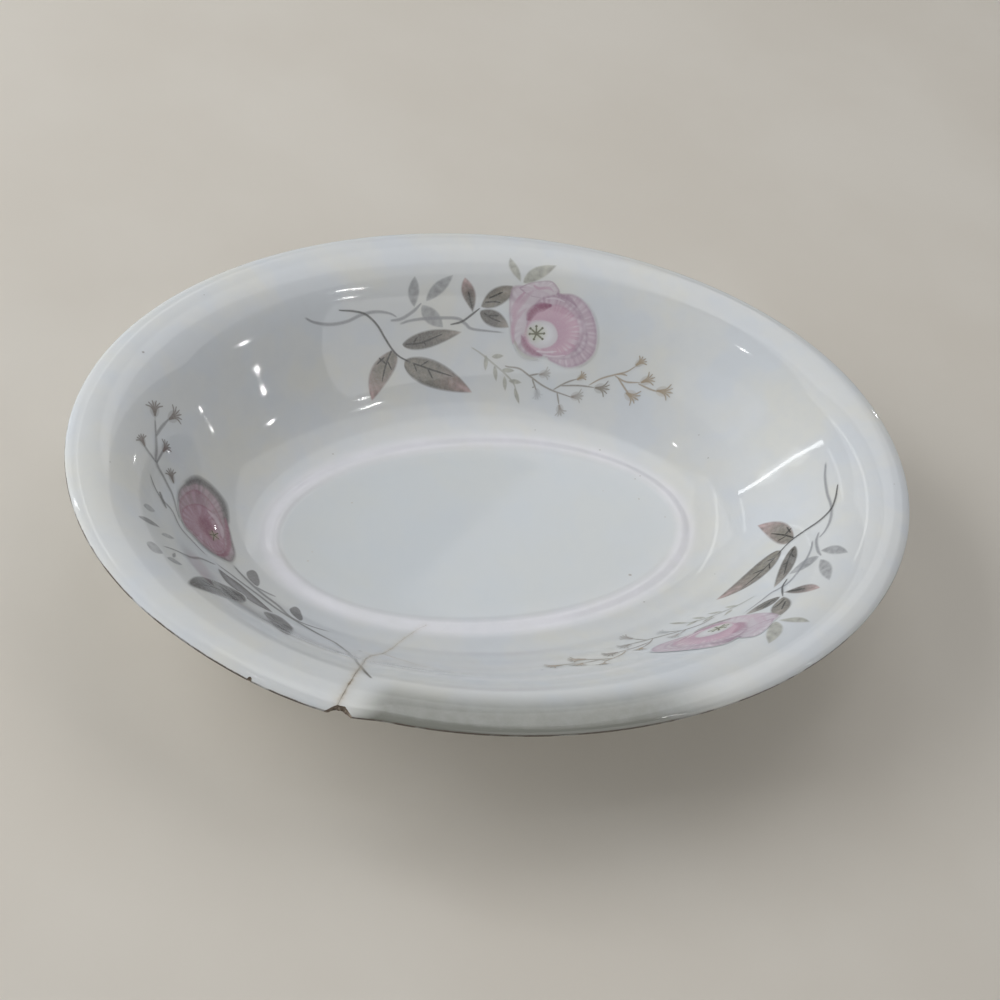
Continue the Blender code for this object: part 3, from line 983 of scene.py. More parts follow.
class Spray:
    """One spray of print: thin shapes laid on the inside of the wall and joined into one piece."""

    def __init__(self, name, place):
        self.name = name
        self.angle, self.height, turn, self.arch, *self.stretch = place
        self.turn = math.radians(turn)
        self.shapes = []

    def settle(self, plan, lift):
        """Places and normals on the wall for points of the plan."""
        plan = plan * self.stretch
        across = math.cos(self.turn) * plan[:, 0] - math.sin(self.turn) * plan[:, 1]
        rise = math.sin(self.turn) * plan[:, 0] + math.cos(self.turn) * plan[:, 1] + self.height
        bend = np.where(plan[:, 0] > 0.0, self.arch, ARCH_LEFT * self.arch)
        rise = rise + bend * (plan[:, 0] / ARCH_SPAN) ** 2
        start = np.interp(math.radians(self.angle), RING_ANGLES, RING_LENGTHS)
        angle = np.interp(start - 0.001 * across, RING_LENGTHS, RING_ANGLES)
        offset = np.interp(0.001 * rise, TABLE_RISE, TABLE_OFFSET)
        return inner_places(offset, angle, np.full(len(plan), lift))

    def add(self, plan, paint, cover, layer, closed=False):
        """Keeps a grid of the plan with its colours and cover; closed joins its columns to a ring."""
        paint = np.broadcast_to(paint, plan.shape[:2] + (3,)).astype(float)
        cover = np.broadcast_to(cover, plan.shape[:2]).astype(float)
        self.shapes.append((layer, len(self.shapes), plan, paint, cover, closed))

    def laid(self):
        """All shapes from the lowest up: points, normals, faces, colours and covers."""
        canvas = Canvas()
        points, normals, faces, paints, covers = [], [], [], [], []
        count = 0
        ordered = sorted(self.shapes, key=lambda shape: shape[:2])
        for order, (layer, _, plan, paint, cover, closed) in enumerate(ordered):
            shown, total = canvas.over(plan, paint, cover)
            canvas.lay(plan, paint, cover, closed)
            rows, columns = plan.shape[:2]
            flat, colours, amounts = plan.reshape(-1, 2), shown.reshape(-1, 3), total.reshape(-1)
            faces += grid_faces(rows, columns, count, closed)
            if closed:
                middle = count + len(flat)
                flat = np.vstack([flat, plan[0].mean(axis=0)])
                colours = np.vstack([colours, colours[:columns].mean(axis=0)])
                amounts = np.append(amounts, amounts[:columns].mean())
                faces += [(middle, count + (index + 1) % columns, count + index)
                          for index in range(columns)]
            places, upward = self.settle(flat, LIFT_FIRST + LIFT_LAYER * layer + LIFT_SHAPE * order)
            for kept, new in ((points, places), (normals, upward), (paints, colours), (covers, amounts)):
                kept.append(new)
            count += len(flat)
        points, normals, paints, covers = map(np.concatenate, (points, normals, paints, covers))
        return points, normals, faces, paints, covers

    def stroke(self, points, width, colour, strength=0.9, ends=(0.6, 0.4), layer=1, end_colour=None):
        """Line with soft sides: its width in millimetres, and the shares of it at both ends."""
        line = smooth_line(points, max(9, 7 * len(points)))
        along = np.gradient(line, axis=0)
        along /= np.linalg.norm(along, axis=1, keepdims=True)
        side = np.column_stack([-along[:, 1], along[:, 0]])
        share = np.linspace(0.0, 1.0, len(line))
        half = 0.8 * width * np.interp(share, [0.0, 0.25, 0.7, 1.0], [ends[0], 1.0, 1.0, ends[1]])
        across = np.linspace(-1.0, 1.0, STROKE_COLUMNS)
        plan = line[:, None, :] + side[:, None, :] * (half[:, None] * across)[..., None]
        fade = ease(share, 0.0, 0.05) * ease(1.0 - share, 0.0, 0.05)
        cover = strength * fade[:, None] * np.cos(across * 0.5 * math.pi) ** 0.8
        paint = blend_colours(colour, end_colour or colour, ease(share, 0.3, 1.0))[:, None, :]
        self.add(plan, paint, cover, layer)

    def leaf(self, base, tip, sides, colours, strength=0.92, soft=0.75, fullness=0.75, layer=0):
        """Leaf from its base to its tip through one point on each side; colours: base, tip and rim."""
        base, tip = np.array(base), np.array(tip)
        length = np.linalg.norm(tip - base)
        along = (tip - base) / length
        normal = np.array([-along[1], along[0]])
        share = np.linspace(0.0, 1.0, max(12, int(length * 1.6)))
        bulges = []
        for side in sides:
            away = np.array(side) - base
            widest = np.clip(away @ along / length, 0.22, 0.78)
            power = math.log(0.5) / math.log(widest)
            bulges.append((away @ normal) * np.sin(math.pi * share ** power) ** fullness)
        bulges.sort(key=lambda bulge: bulge.sum())
        across = np.linspace(-1.0, 1.0, LEAF_COLUMNS)
        offset = bulges[0][:, None] + (bulges[1] - bulges[0])[:, None] * 0.5 * (across + 1.0)
        plan = base + along * (share * length)[:, None, None] + normal * offset[..., None]
        half = np.maximum(0.5 * (bulges[1] - bulges[0]), 0.05)[:, None]
        cover = strength * ease((1.0 - np.abs(across)) * half, 0.0, soft)
        body = blend_colours(colours[0], colours[1], ease(share, 0.35, 1.0))[:, None, :]
        rim = np.abs(across) ** 2.2 * 0.85 * np.ones((len(share), 1))
        paint = blend_colours(body, colours[2], rim)
        ribs = 1.0 + 0.03 * np.sin(30.0 * share[:, None] - 5.0 * np.abs(across))
        ribs = ribs + 0.10 * plan_noise(plan, 0.7)
        self.add(plan, paint * ribs[..., None], cover, layer)

    def slip(self, base, tip, width, colour, strength=0.6, layer=0):
        """Small plain leaf, or a dab of the brush, of one width."""
        base, tip = np.array(base), np.array(tip)
        middle = base + 0.45 * (tip - base)
        run = tip - base
        normal = np.array([-run[1], run[0]]) / np.linalg.norm(run)
        sides = (middle + normal * 0.5 * width, middle - normal * 0.5 * width)
        self.leaf(base, tip, sides, (colour, colour, colour), strength, soft=0.45, layer=layer)

    def field(self, outline, middle, painter, layer, strength=0.9, soft=0.35, rows=16, columns=168):
        """Closed shape round a middle; painter gives its colours for shares from 0, the middle, to 1."""
        edge = smooth_line(outline, columns, closed=True)
        middle = np.array(middle, dtype=float)
        share = np.linspace(0.07, 1.0, rows)[:, None]
        plan = middle + (edge - middle) * share[..., None]
        away = np.linalg.norm(edge - middle, axis=1) * (1.0 - share)
        paint, cover = painter(share, np.arange(columns) / columns)
        self.add(plan, paint, strength * cover * ease(away, 0.0, soft), layer, closed=True)

    def bud(self, base, tip, colour, count=5, spread=36.0, strength=0.8):
        """Small fan of bristles with a faint fill."""
        base, tip = np.array(base), np.array(tip)
        run = tip - base
        self.slip(base - 0.1 * run, base + 0.95 * run, 0.75 * np.linalg.norm(run), colour, 0.3)
        for index in range(count):
            turn = math.radians(spread) * (2.0 * index / (count - 1) - 1.0)
            ends = []
            for part, reach in ((0.5, 0.55), (1.0, 1.0 - 0.12 * abs(turn))):
                cosine, sine = math.cos(turn * part), math.sin(turn * part)
                turned = (cosine * run[0] - sine * run[1], sine * run[0] + cosine * run[1])
                ends.append(base + reach * np.array(turned))
            self.stroke([base, *ends], 0.42, colour, strength, ends=(0.9, 0.6), layer=2)

    def finish(self, crack=None):
        """Joins the shapes into one piece with its colours, covers and the wall's own normals."""
        points, normals, faces, paints, covers = self.laid()
        stain, away = np.zeros(len(points)), np.full(len(points), 1.0)
        if crack is not None:
            stain, away = crack_stain(points, crack)
        faces = turned_faces(faces, points, normals, away)
        print_piece(self.name, points, normals, faces, paints, covers, stain)


def print_piece(name, points, normals, faces, paints, covers, stain):
    """Piece of print on the bowl, with its colours, covers, stain and the wall's own normals."""
    mesh = mesh_from(name, points, faces)
    add_attribute(mesh, "stain", stain)
    colours = np.column_stack([scene_linear(paints), np.ones(len(paints))])
    paint = mesh.color_attributes.new("paint", 'FLOAT_COLOR', 'POINT')
    paint.data.foreach_set("color", colours.astype(np.float32).ravel())
    add_attribute(mesh, "cover", covers)
    mesh.materials.append(bpy.data.materials["print"])
    mesh.normals_split_custom_set_from_vertices(normals.tolist())
    piece = add_object(name, mesh)
    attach(piece, "root")


def turned_faces(faces, points, normals, away):
    """Faces turned to look out of the wall, without those that would bridge the crack."""
    kept = []
    for size in (4, 3):
        corners = np.array([face for face in faces if len(face) == size])
        if not len(corners):
            continue
        corners = corners[away[corners].min(axis=1) > 0.6 * CRACK_WIDTH]
        across = points[corners[:, 2]] - points[corners[:, 0]]
        other = points[corners[:, size - 1]] - points[corners[:, 1]]
        facing = np.einsum("ij,ij->i", np.cross(across, other), normals[corners[:, 0]])
        kept += np.where(facing[:, None] < 0.0, corners[:, ::-1], corners).tolist()
    return kept


def streaks(turn, scale, seed, sharp=1.0):
    """Fine uneven rays round a petal, from -1 to 1."""
    values = round_noise(len(turn), scale, seed)
    return np.clip(values * 2.2 * sharp, -1.0, 1.0)


def paint_petal(body, line, bright, scale, seed, line_share=0.9):
    """Petal that darkens to a line at its edge, with fine pale and dark rays."""
    def painter(share, turn):
        rays = streaks(turn, scale, seed)
        colour = blend_colours(body, bright, 0.55 * np.clip(rays, 0.0, 1.0) * ease(share, 0.25, 0.8))
        colour = blend_colours(colour, line, 0.40 * np.clip(-rays, 0.0, 1.0) * ease(share, 0.45, 1.0))
        edge = ease(share, line_share - 0.10, line_share + 0.04)
        colour = blend_colours(colour, line, 0.72 * edge * np.ones_like(turn))
        return colour, np.ones_like(share * turn)
    return painter


def paint_plain(body, rim):
    """Plain shape that goes over to another colour towards its edge."""
    def painter(share, turn):
        cover = np.ones_like(share * turn)
        return blend_colours(body, rim, ease(share, 0.4, 1.0) * np.ones_like(turn)), cover
    return painter


def paint_haze(colour):
    """Shape of one colour that fades away towards its edge."""
    def painter(share, turn):
        cover = (1.0 - ease(share, 0.2, 1.0)) * np.ones_like(turn)
        return np.broadcast_to(np.array(colour, dtype=float), cover.shape + (3,)), cover
    return painter


def draw_stamens(spray, middle, tips, size):
    """Dark stamens with a dot at each tip, over a greenish haze."""
    spray.field([(middle[0] - 4.0 * size, middle[1]), (middle[0], middle[1] + 3.6 * size),
                 (middle[0] + 3.6 * size, middle[1] + 0.4), (middle[0] + 0.4, middle[1] - 3.2 * size)],
                middle, paint_haze(STAMEN_HAZE), 9, 0.55, rows=8, columns=24)
    for tip in tips:
        spray.stroke([middle, (0.5 * (middle[0] + tip[0]), 0.5 * (middle[1] + tip[1])), tip], 0.36 * size,
                     STAMEN, 0.9, ends=(1.2, 0.7), layer=10)
        dot = 0.42 * size
        spray.field([(tip[0] - dot, tip[1]), (tip[0], tip[1] + dot), (tip[0] + dot, tip[1]),
                     (tip[0], tip[1] - dot)], tip, paint_plain(STAMEN, STAMEN), 11, 0.95, soft=0.2,
                    rows=4, columns=12)


def draw_rose(spray, depth):
    """Open rose seen a little from the side, its cup to the left; depth is how dark its folds are."""
    spray.field([(-8.8, 14.8), (-10.2, 11.8), (-10.0, 6.7), (-9.0, 2.0), (-7.8, -1.7), (-6.0, -4.8),
                 (-3.2, -6.8), (0.0, -7.8), (3.6, -7.4), (6.5, -4.0), (6.0, 4.0), (4.0, 11.5),
                 (-2.0, 14.5)], (-1.5, 3.5),
                paint_petal(ROSE_PALE, ROSE_LINE, ROSE_WHITE, 5.0, 1.0, 0.97), 2, 0.85)
    spray.field([(-7.6, 13.6), (-6.9, 14.6), (-4.8, 15.9), (-1.5, 17.0), (1.3, 17.4), (3.2, 16.1),
                 (4.4, 13.6), (1.0, 11.5), (-4.0, 11.5)], (-1.2, 13.8),
                paint_petal(ROSE_PALE, ROSE_LINE, ROSE_WHITE, 4.0, 2.0), 3, 0.75)
    for line, width in (
            ([(-8.0, 3.4), (-7.8, 6.6), (-6.6, 8.9), (-5.1, 11.3), (-3.1, 13.8)], 1.5),
            ([(-6.7, -4.2), (-7.7, -0.1), (-7.6, 3.1), (-6.1, 5.8), (-4.3, 7.9)], 1.2),
            ([(-5.6, 12.9), (-7.3, 10.4), (-8.6, 7.6), (-9.0, 4.8)], 0.9),
            ([(-3.6, 15.2), (-1.9, 14.4), (0.9, 14.9), (2.6, 13.9)], 0.8)):
        spray.stroke(line, width, ROSE_MID, 0.75 * depth, ends=(0.5, 0.2), layer=4, end_colour=ROSE_SOFT)
    spray.field([(3.2, 13.4), (5.9, 14.2), (8.2, 14.4), (10.7, 13.6), (13.6, 11.5), (16.4, 8.2),
                 (18.5, 4.4), (19.8, 0.6), (20.2, -3.0), (18.7, -6.4), (16.1, -8.6), (12.6, -9.6),
                 (8.6, -8.9), (5.5, -7.7), (1.5, -4.0), (-2.0, 4.0), (-0.5, 10.5)], (7.0, 2.0),
                paint_petal(ROSE_SOFT, ROSE_LINE, ROSE_WHITE, 11.0, 3.0, 0.95), 4, 0.9, columns=240)
    spray.field([(1.6, 12.9), (4.4, 12.9), (6.8, 12.7), (9.4, 11.6), (12.1, 9.2), (14.7, 5.5),
                 (16.6, 1.6), (17.0, -2.4), (15.0, -5.5), (11.8, -7.1), (7.7, -7.3), (3.0, -6.6),
                 (-3.0, 0.0), (-3.6, 7.0)], (5.0, 2.5),
                paint_petal(ROSE_PALE, ROSE_LINE, ROSE_WHITE, 9.0, 4.0, 0.96), 5, 0.88, columns=240)
    spray.field([(-3.7, 0.9), (-4.1, 4.7), (-3.1, 8.0), (-1.5, 11.1), (0.8, 12.6), (3.7, 12.7),
                 (6.2, 12.0), (9.6, 10.3), (12.8, 7.2), (14.9, 2.8), (15.0, -1.8), (12.8, -5.2),
                 (8.3, -6.5), (3.5, -6.9), (0.0, -6.2), (-3.2, -3.6)], (4.0, 2.0),
                paint_petal(ROSE_SOFT, ROSE_LINE, ROSE_WHITE, 8.0, 5.0, 0.97), 6, 0.88, columns=200)
    spray.field([(-3.4, 4.1), (-2.4, 7.1), (-0.3, 9.0), (2.3, 10.0), (4.9, 10.4), (8.1, 9.4), (10.7, 7.6),
                 (12.9, 4.4), (13.9, 1.0), (13.5, -1.8), (11.9, -4.1), (8.3, -5.7), (4.9, -6.1),
                 (0.5, -5.9), (-2.9, -3.9), (-4.0, 0.0)], (3.5, 0.6), paint_cup, 7, 0.92, columns=240)
    spray.field([(-3.4, 0.9), (-2.9, 3.2), (-1.2, 4.4), (1.5, 4.7), (4.2, 4.1), (6.2, 2.2), (7.2, -0.3),
                 (6.5, -2.7), (4.3, -4.3), (1.7, -4.7), (-1.2, -3.7), (-2.9, -1.6)], (1.8, 0.2),
                paint_plain(EYE_WHITE, (200, 196, 200)), 8, 0.95, soft=0.5)
    for line, width, colour, strength in (
            ([(-3.3, 3.6), (-2.9, 6.1), (-1.6, 7.9), (0.7, 8.9), (3.0, 9.6)], 2.2, ROSE_DEEP,
             0.95 * depth),
            ([(-4.5, -0.6), (-3.0, -3.8), (0.0, -5.9), (3.8, -6.8)], 1.5, ROSE_DEEP, 0.75 * depth),
            ([(4.2, -6.0), (8.3, -5.9), (11.8, -4.2), (13.6, -1.4)], 1.1, ROSE_MID, 0.85),
            ([(2.6, -4.9), (5.4, -4.4), (7.0, -2.9), (7.9, -0.6)], 1.3, ROSE_MID, 0.6),
            ([(-6.9, -2.6), (-4.4, -6.0), (-1.4, -7.7), (2.6, -8.0)], 0.9, SAGE, 0.6),
            ([(3.4, 13.8), (5.2, 12.9), (7.6, 12.4), (10.2, 10.4)], 1.0, ROSE_LINE, 0.6)):
        spray.stroke(line, width, colour, strength, ends=(0.5, 0.25), layer=9)
    for line in (
            [(3.6, -6.4), (7.5, -6.4), (11.0, -5.4)], [(1.0, -5.4), (4.6, -5.4), (8.0, -4.6)],
            [(0.6, 11.4), (3.6, 11.9), (6.6, 11.2)]):
        spray.stroke(line, 0.55, ROSE_WHITE, 0.7, layer=9)
    draw_stamens(spray, (0.0, 0.0),
                 [(-2.2, 1.5), (-0.5, 2.4), (1.5, 2.0), (2.4, 0.4), (2.3, -1.4), (-0.4, -1.8),
                  (-2.1, -0.3)], 1.25)


def paint_cup(share, turn):
    """Inside of the rose: deeper pink towards the eye, fine white rays at its right edge."""
    rays = streaks(turn, 13.0, 6.0, 1.3)
    right = 0.5 + 0.5 * np.cos(2.0 * math.pi * (turn - 0.55))
    colour = blend_colours(ROSE_MID, ROSE_PINK, ease(share, 0.35, 0.85) * np.ones_like(turn))
    pale = ease(share, 0.55, 0.95) * right * np.clip(0.35 + rays, 0.0, 1.0)
    colour = blend_colours(colour, ROSE_WHITE, 0.7 * pale)
    edge = ease(share, 0.90, 1.0) * np.ones_like(turn)
    return blend_colours(colour, ROSE_LINE, 0.55 * edge), np.ones_like(share * turn)


def draw_large_leaves(spray):
    """Three olive leaves on the dark stem, with their veins."""
    spray.leaf((-44.2, -8.6), (-19.7, -19.9), ((-32.3, -9.5), (-38.1, -17.0)),
               (OLIVE, LEAF_PINK, OLIVE_DEEP))
    spray.leaf((-47.6, -4.7), (-58.9, -19.5), ((-56.6, -9.7), (-47.5, -11.0)), (OLIVE, LEAF_PINK, LEAF_RIM))
    spray.leaf((-44.4, -3.5), (-23.9, -0.7), ((-35.7, 0.4), (-36.3, -5.8)),
               (OLIVE_DEEP, OLIVE_PALE, OLIVE_DEEP))
    for vein, width in (
            ([(-41.5, -9.5), (-34.6, -12.2), (-26.7, -14.8)], 0.6),
            ([(-40.8, -9.8), (-40.0, -12.4)], 0.5), ([(-36.0, -11.8), (-34.5, -15.0)], 0.6),
            ([(-38.4, -10.7), (-35.5, -9.3)], 0.5), ([(-47.9, -4.7), (-50.8, -9.3), (-53.3, -14.3)], 0.6),
            ([(-50.7, -8.7), (-52.8, -6.5)], 0.6), ([(-50.7, -6.6), (-54.0, -8.6)], 0.5),
            ([(-49.9, -8.2), (-48.9, -11.1)], 0.5), ([(-43.4, -3.6), (-37.6, -3.5), (-30.2, -1.1)], 0.65),
            ([(-40.3, -3.3), (-38.8, -1.6)], 0.6), ([(-37.0, -3.2), (-36.0, -4.6)], 0.5)):
        spray.stroke(vein, 0.8 * width, VEIN, 0.95, ends=(0.9, 0.35), layer=1)


def draw_small_leaves(spray):
    """Leaves between the dark stem and the rose, and the pale pair above it."""
    spray.leaf((-21.0, 5.0), (-23.5, 16.6), ((-24.9, 11.5), (-20.1, 11.6)),
               (OLIVE_DEEP, LEAF_PINK, LEAF_RIM))
    spray.leaf((-18.7, 7.2), (-8.1, 14.2), ((-15.1, 13.4), (-12.3, 7.8)), (OLIVE, OLIVE_PALE, OLIVE_DEEP))
    spray.leaf((-18.9, 6.0), (-8.9, 1.1), ((-13.0, 6.2), (-16.0, 1.3)),
               (OLIVE_DEEP, OLIVE_PALE, OLIVE_DEEP))
    for vein in (
            [(-21.2, 6.6), (-22.0, 9.6), (-22.6, 12.0)], [(-17.5, 8.6), (-14.6, 9.0), (-12.6, 8.8)],
            [(-16.4, 9.9), (-13.6, 11.4), (-12.2, 12.2)], [(-17.6, 5.4), (-14.6, 3.6), (-11.8, 2.7)],
            [(-16.0, 4.5), (-12.6, 4.7)]):
        spray.stroke(vein, 0.45, VEIN, 0.9, ends=(0.9, 0.4), layer=1)
    for base, tip, sides, pale in (
            ((-39.2, 7.5), (-37.9, 17.5), ((-41.0, 12.4), (-37.0, 12.5)), GREY_LEAF),
            ((-35.6, 9.1), (-26.7, 17.3), ((-33.0, 14.6), (-30.0, 11.6)), GREY_PALE),
            ((-36.9, 8.3), (-30.2, 0.7), ((-32.0, 6.1), (-36.3, 2.9)), GREY_PALE),
            ((-7.4, 15.6), (-10.6, 24.1), ((-11.0, 19.9), (-7.6, 19.6)), SAGE),
            ((-6.6, 15.4), (2.3, 23.0), ((-4.4, 21.0), (-1.5, 17.3)), SAGE)):
        spray.leaf(base, tip, sides, (GREY_LEAF if pale is not SAGE else SAGE, pale, pale), 0.85)


def draw_stems(spray, cut):
    """Grey and dark stems; cut leaves out that many points at the grey stem's far end."""
    for stem in (
            [(-73.6, 10.8), (-71.2, 8.5), (-66.5, 6.6), (-61.0, 6.3), (-55.9, 7.5), (-51.1, 7.6),
             (-47.1, 6.5), (-44.8, 4.9)][cut:],
            [(-47.4, 4.3), (-43.6, 4.5), (-39.5, 6.6), (-36.9, 8.9)],
            [(-44.7, 2.8), (-41.1, 3.6), (-36.2, 3.9), (-29.2, 3.8), (-25.4, 3.4), (-23.1, 1.8),
             (-21.1, 0.3), (-16.1, -0.3), (-9.9, -0.6)]):
        spray.stroke(stem, 0.85, STEM_GREY, 0.85)
    spray.stroke([(-62.8, 10.3), (-61.7, 9.9), (-58.1, 8.9), (-54.7, 7.3), (-51.8, 3.7), (-49.8, -0.7),
                  (-47.9, -4.4), (-45.5, -7.2), (-41.5, -9.5)], 0.6, STEM_DARK, 0.95, ends=(0.4, 0.7),
                 layer=2)
    spray.stroke([(-28.2, 1.6), (-24.4, 2.5), (-21.3, 4.7), (-18.7, 6.9)], 0.6, STEM_DARK, 0.95, layer=2)


def draw_bud_sprig(spray):
    """Thin sprig of buds to the right of the rose, brown near it and golden at its end."""
    for stem in (
            [(-8.6, -11.0), (-7.3, -11.3), (-3.3, -11.6), (0.6, -13.5), (5.6, -15.9), (10.4, -17.3),
             (15.9, -18.1), (20.6, -18.6)],
            [(0.6, -13.5), (4.0, -12.5)], [(1.9, -14.4), (4.3, -18.1)], [(12.0, -17.7), (14.0, -21.5)],
            [(10.3, -17.0), (14.1, -14.0), (17.7, -12.0)], [(12.7, -15.3), (18.9, -14.1), (24.4, -13.6)]):
        spray.stroke(stem, 0.5, STEM_BROWN, 0.85)
    for stem in (
            [(21.9, -13.5), (25.2, -10.3), (29.0, -7.9), (32.2, -5.8), (34.2, -3.0)],
            [(29.1, -8.2), (33.4, -9.0), (38.0, -7.7)], [(30.3, -8.5), (34.6, -11.4), (36.2, -12.3)],
            [(37.3, -8.3), (42.1, -8.6), (44.8, -8.3)], [(29.4, -7.6), (31.4, -7.0), (33.0, -7.0)]):
        spray.stroke(stem, 0.5, STEM_GOLD, 0.85)
    for base, tip, colour, strength in (
            ((4.0, -12.8), (8.0, -11.7), BUD_GREY, 0.5), ((4.1, -17.4), (5.7, -20.9), GREY_PALE, 0.3),
            ((14.0, -21.5), (16.2, -25.3), BUD_GREY, 0.6), ((17.4, -18.1), (21.9, -17.0), BUD_GREY, 0.6),
            ((17.5, -12.4), (19.9, -9.9), BUD_GOLD, 0.85),
            ((24.4, -13.6), (29.6, -12.9), STEM_BROWN, 0.95), ((33.9, -3.1), (35.8, 0.2), BUD_GOLD, 0.9),
            ((38.0, -7.7), (41.4, -4.4), BUD_GOLD, 0.9), ((35.1, -12.3), (40.5, -13.3), BUD_GOLD, 0.9),
            ((44.0, -8.2), (49.2, -6.8), BUD_GOLD, 0.9)):
        spray.bud(base, tip, colour, strength=strength)


def draw_pale_sprig(spray):
    """Pale sprig of small leaves below the rose and left of it."""
    spray.stroke([(-21.0, -5.4), (-17.1, -7.6), (-12.6, -10.6), (-7.6, -13.9), (-4.2, -16.9),
                  (-1.9, -21.6)], 0.5, SAGE, 0.7)
    for base, tip in (
            ((-15.4, -7.8), (-15.2, -13.2)), ((-13.6, -8.4), (-9.2, -7.9)),
            ((-12.2, -10.9), (-10.9, -16.3)), ((-9.6, -12.4), (-4.6, -12.4)),
            ((-8.2, -14.2), (-7.2, -19.3)), ((-6.6, -15.7), (-1.4, -16.0)),
            ((-4.0, -17.8), (-1.2, -23.2))):
        spray.slip(base, tip, 1.9, SAGE, 0.8)


def draw_wall_spray(name, place, cut=0, depth=1.0):
    """The spray with the rose in its middle, which is printed on the back and on the right."""
    spray = Spray(name, place)
    draw_stems(spray, cut)
    draw_large_leaves(spray)
    draw_small_leaves(spray)
    draw_pale_sprig(spray)
    draw_bud_sprig(spray)
    draw_rose(spray, depth)
    spray.finish()


def draw_end_stems(spray):
    """Stems of the end spray: buds above the rose, and two long ones that run on past the crack."""
    for stem, width in (
            ([(-5.8, 15.9), (1.7, 17.9), (4.9, 21.4), (8.3, 26.5), (12.3, 27.7), (15.7, 29.3),
              (20.6, 32.2)], 1.0),
            ([(15.7, 29.3), (18.8, 28.9), (23.6, 27.9)], 0.9),
            ([(8.3, 26.5), (9.3, 29.4), (10.4, 32.0), (12.3, 33.8)], 0.7),
            ([(8.3, 26.5), (12.6, 25.4), (15.2, 25.1)], 0.7),
            ([(-14.4, 7.2), (-11.1, 12.0), (-8.4, 16.9), (-3.8, 19.4), (-2.5, 23.9), (-0.3, 26.7),
              (3.4, 29.0)], 0.8),
            ([(-17.2, 5.0), (-17.7, 12.2), (-21.1, 22.1), (-21.5, 34.9)], 0.8),
            ([(-26.3, -5.1), (-33.5, -8.0)], 0.7)):
        spray.stroke(stem, width, END_GREY, 0.75)
    spray.stroke([(-15.9, 4.9), (-21.0, 0.3), (-29.6, -2.7), (-39.9, -2.8), (-49.6, -2.0), (-61.6, 0.9),
                  (-65.1, 2.9), (-68.2, 6.4), (-70.1, 9.6)], 0.9, END_GREY, 0.85, ends=(0.6, 0.9),
                 end_colour=OLIVE_DEEP)
    spray.stroke([(-68.2, 6.4), (-70.1, 9.6), (-72.5, 19.2), (-74.7, 29.9), (-76.3, 34.3), (-78.0, 38.0),
                  (-79.8, 40.8)], 0.75, OLIVE_DEEP, 0.9, ends=(1.0, 0.6))
    spray.stroke([(-14.8, -2.9), (-22.6, -4.2), (-29.8, -4.8), (-37.8, -4.9), (-46.8, -2.8),
                  (-59.5, -4.8)], 0.9, END_GREY, 0.8)
    spray.stroke([(-0.2, 24.8), (-2.5, 23.8), (-4.7, 22.4)], 1.4, END_DARK, 0.8)


def draw_end_leaves(spray):
    """Buds and blurred dark leaves of the end spray."""
    for base, tip in (
            ((20.6, 32.2), (24.6, 35.0)), ((23.2, 27.9), (28.3, 26.0)), ((10.4, 32.0), (12.8, 34.8)),
            ((13.3, 25.1), (17.5, 24.4)), ((6.9, 18.2), (10.6, 21.3))):
        spray.bud(base, tip, END_BROWN, count=6, spread=42.0, strength=0.85)
    for base, tip, width, colour in (
            ((-8.9, 34.0), (-8.8, 29.1), 2.6, GREY_PALE), ((-13.1, 37.9), (-14.4, 29.9), 2.2, END_GREY),
            ((-17.0, 31.7), (-15.7, 24.3), 2.0, GREY_LEAF),
            ((-21.0, 40.2), (-24.1, 36.7), 4.2, GREY_PALE),
            ((-25.4, 36.8), (-27.2, 32.1), 2.6, GREY_LEAF),
            ((-25.0, 34.0), (-22.6, 30.4), 1.4, END_GREY)):
        spray.slip(base, tip, width, colour, 0.75)
    for outline, middle, inner, outer, soft in (
            ([(-34.4, 39.0), (-31.8, 34.2), (-29.8, 27.0), (-28.3, 19.0), (-27.6, 12.0), (-28.4, 6.6),
              (-31.2, 3.6), (-34.6, 6.6), (-37.2, 13.0), (-38.6, 20.0), (-38.8, 28.0), (-37.4, 34.2)],
             (-33.2, 20.0), END_BLACK, END_DARK, 1.3),
            ([(-18.8, 5.5), (-21.4, 2.4), (-24.8, 0.1), (-30.3, -0.9), (-35.9, -0.5), (-41.2, 1.0),
              (-37.7, 3.1), (-33.7, 4.7), (-28.9, 5.7), (-24.7, 7.0)], (-29.5, 2.0), END_GREY, END_DARK,
             0.6),
            ([(-40.1, 5.2), (-41.1, 1.6), (-44.2, 0.5), (-49.0, 2.6), (-52.3, 7.5), (-56.6, 26.3),
              (-54.7, 27.2), (-49.2, 18.1), (-44.4, 11.1)], (-48.0, 9.0), END_BLACK, END_DARK, 1.1),
            ([(-18.2, -6.2), (-17.1, -8.8), (-19.5, -9.5), (-23.9, -8.3), (-26.4, -5.9), (-23.7, -5.1),
              (-21.1, -5.0)], (-21.7, -6.9), END_GREY, END_GREY, 0.5),
            ([(-41.0, -6.8), (-41.1, -9.3), (-43.9, -8.9), (-47.8, -5.9), (-48.4, -3.7), (-45.6, -4.1),
              (-43.2, -5.0)], (-44.5, -6.3), END_GREY, END_GREY, 0.5)):
        spray.field(outline, middle, paint_plain(inner, outer), 1, 0.92, soft=soft, rows=12, columns=84)
    for vein in (
            [(-31.2, 4.6), (-32.6, 14.0), (-33.6, 24.0), (-34.2, 35.0)], [(-32.4, 12.0), (-30.6, 17.0)],
            [(-33.2, 18.0), (-36.4, 23.0)], [(-33.8, 25.0), (-31.8, 29.0)],
            [(-41.6, 3.2), (-47.0, 8.0), (-53.0, 19.0)], [(-46.0, 7.0), (-46.6, 11.4)],
            [(-48.4, 9.6), (-52.0, 11.6)]):
        spray.stroke(vein, 0.55, VEIN, 0.85, layer=2)


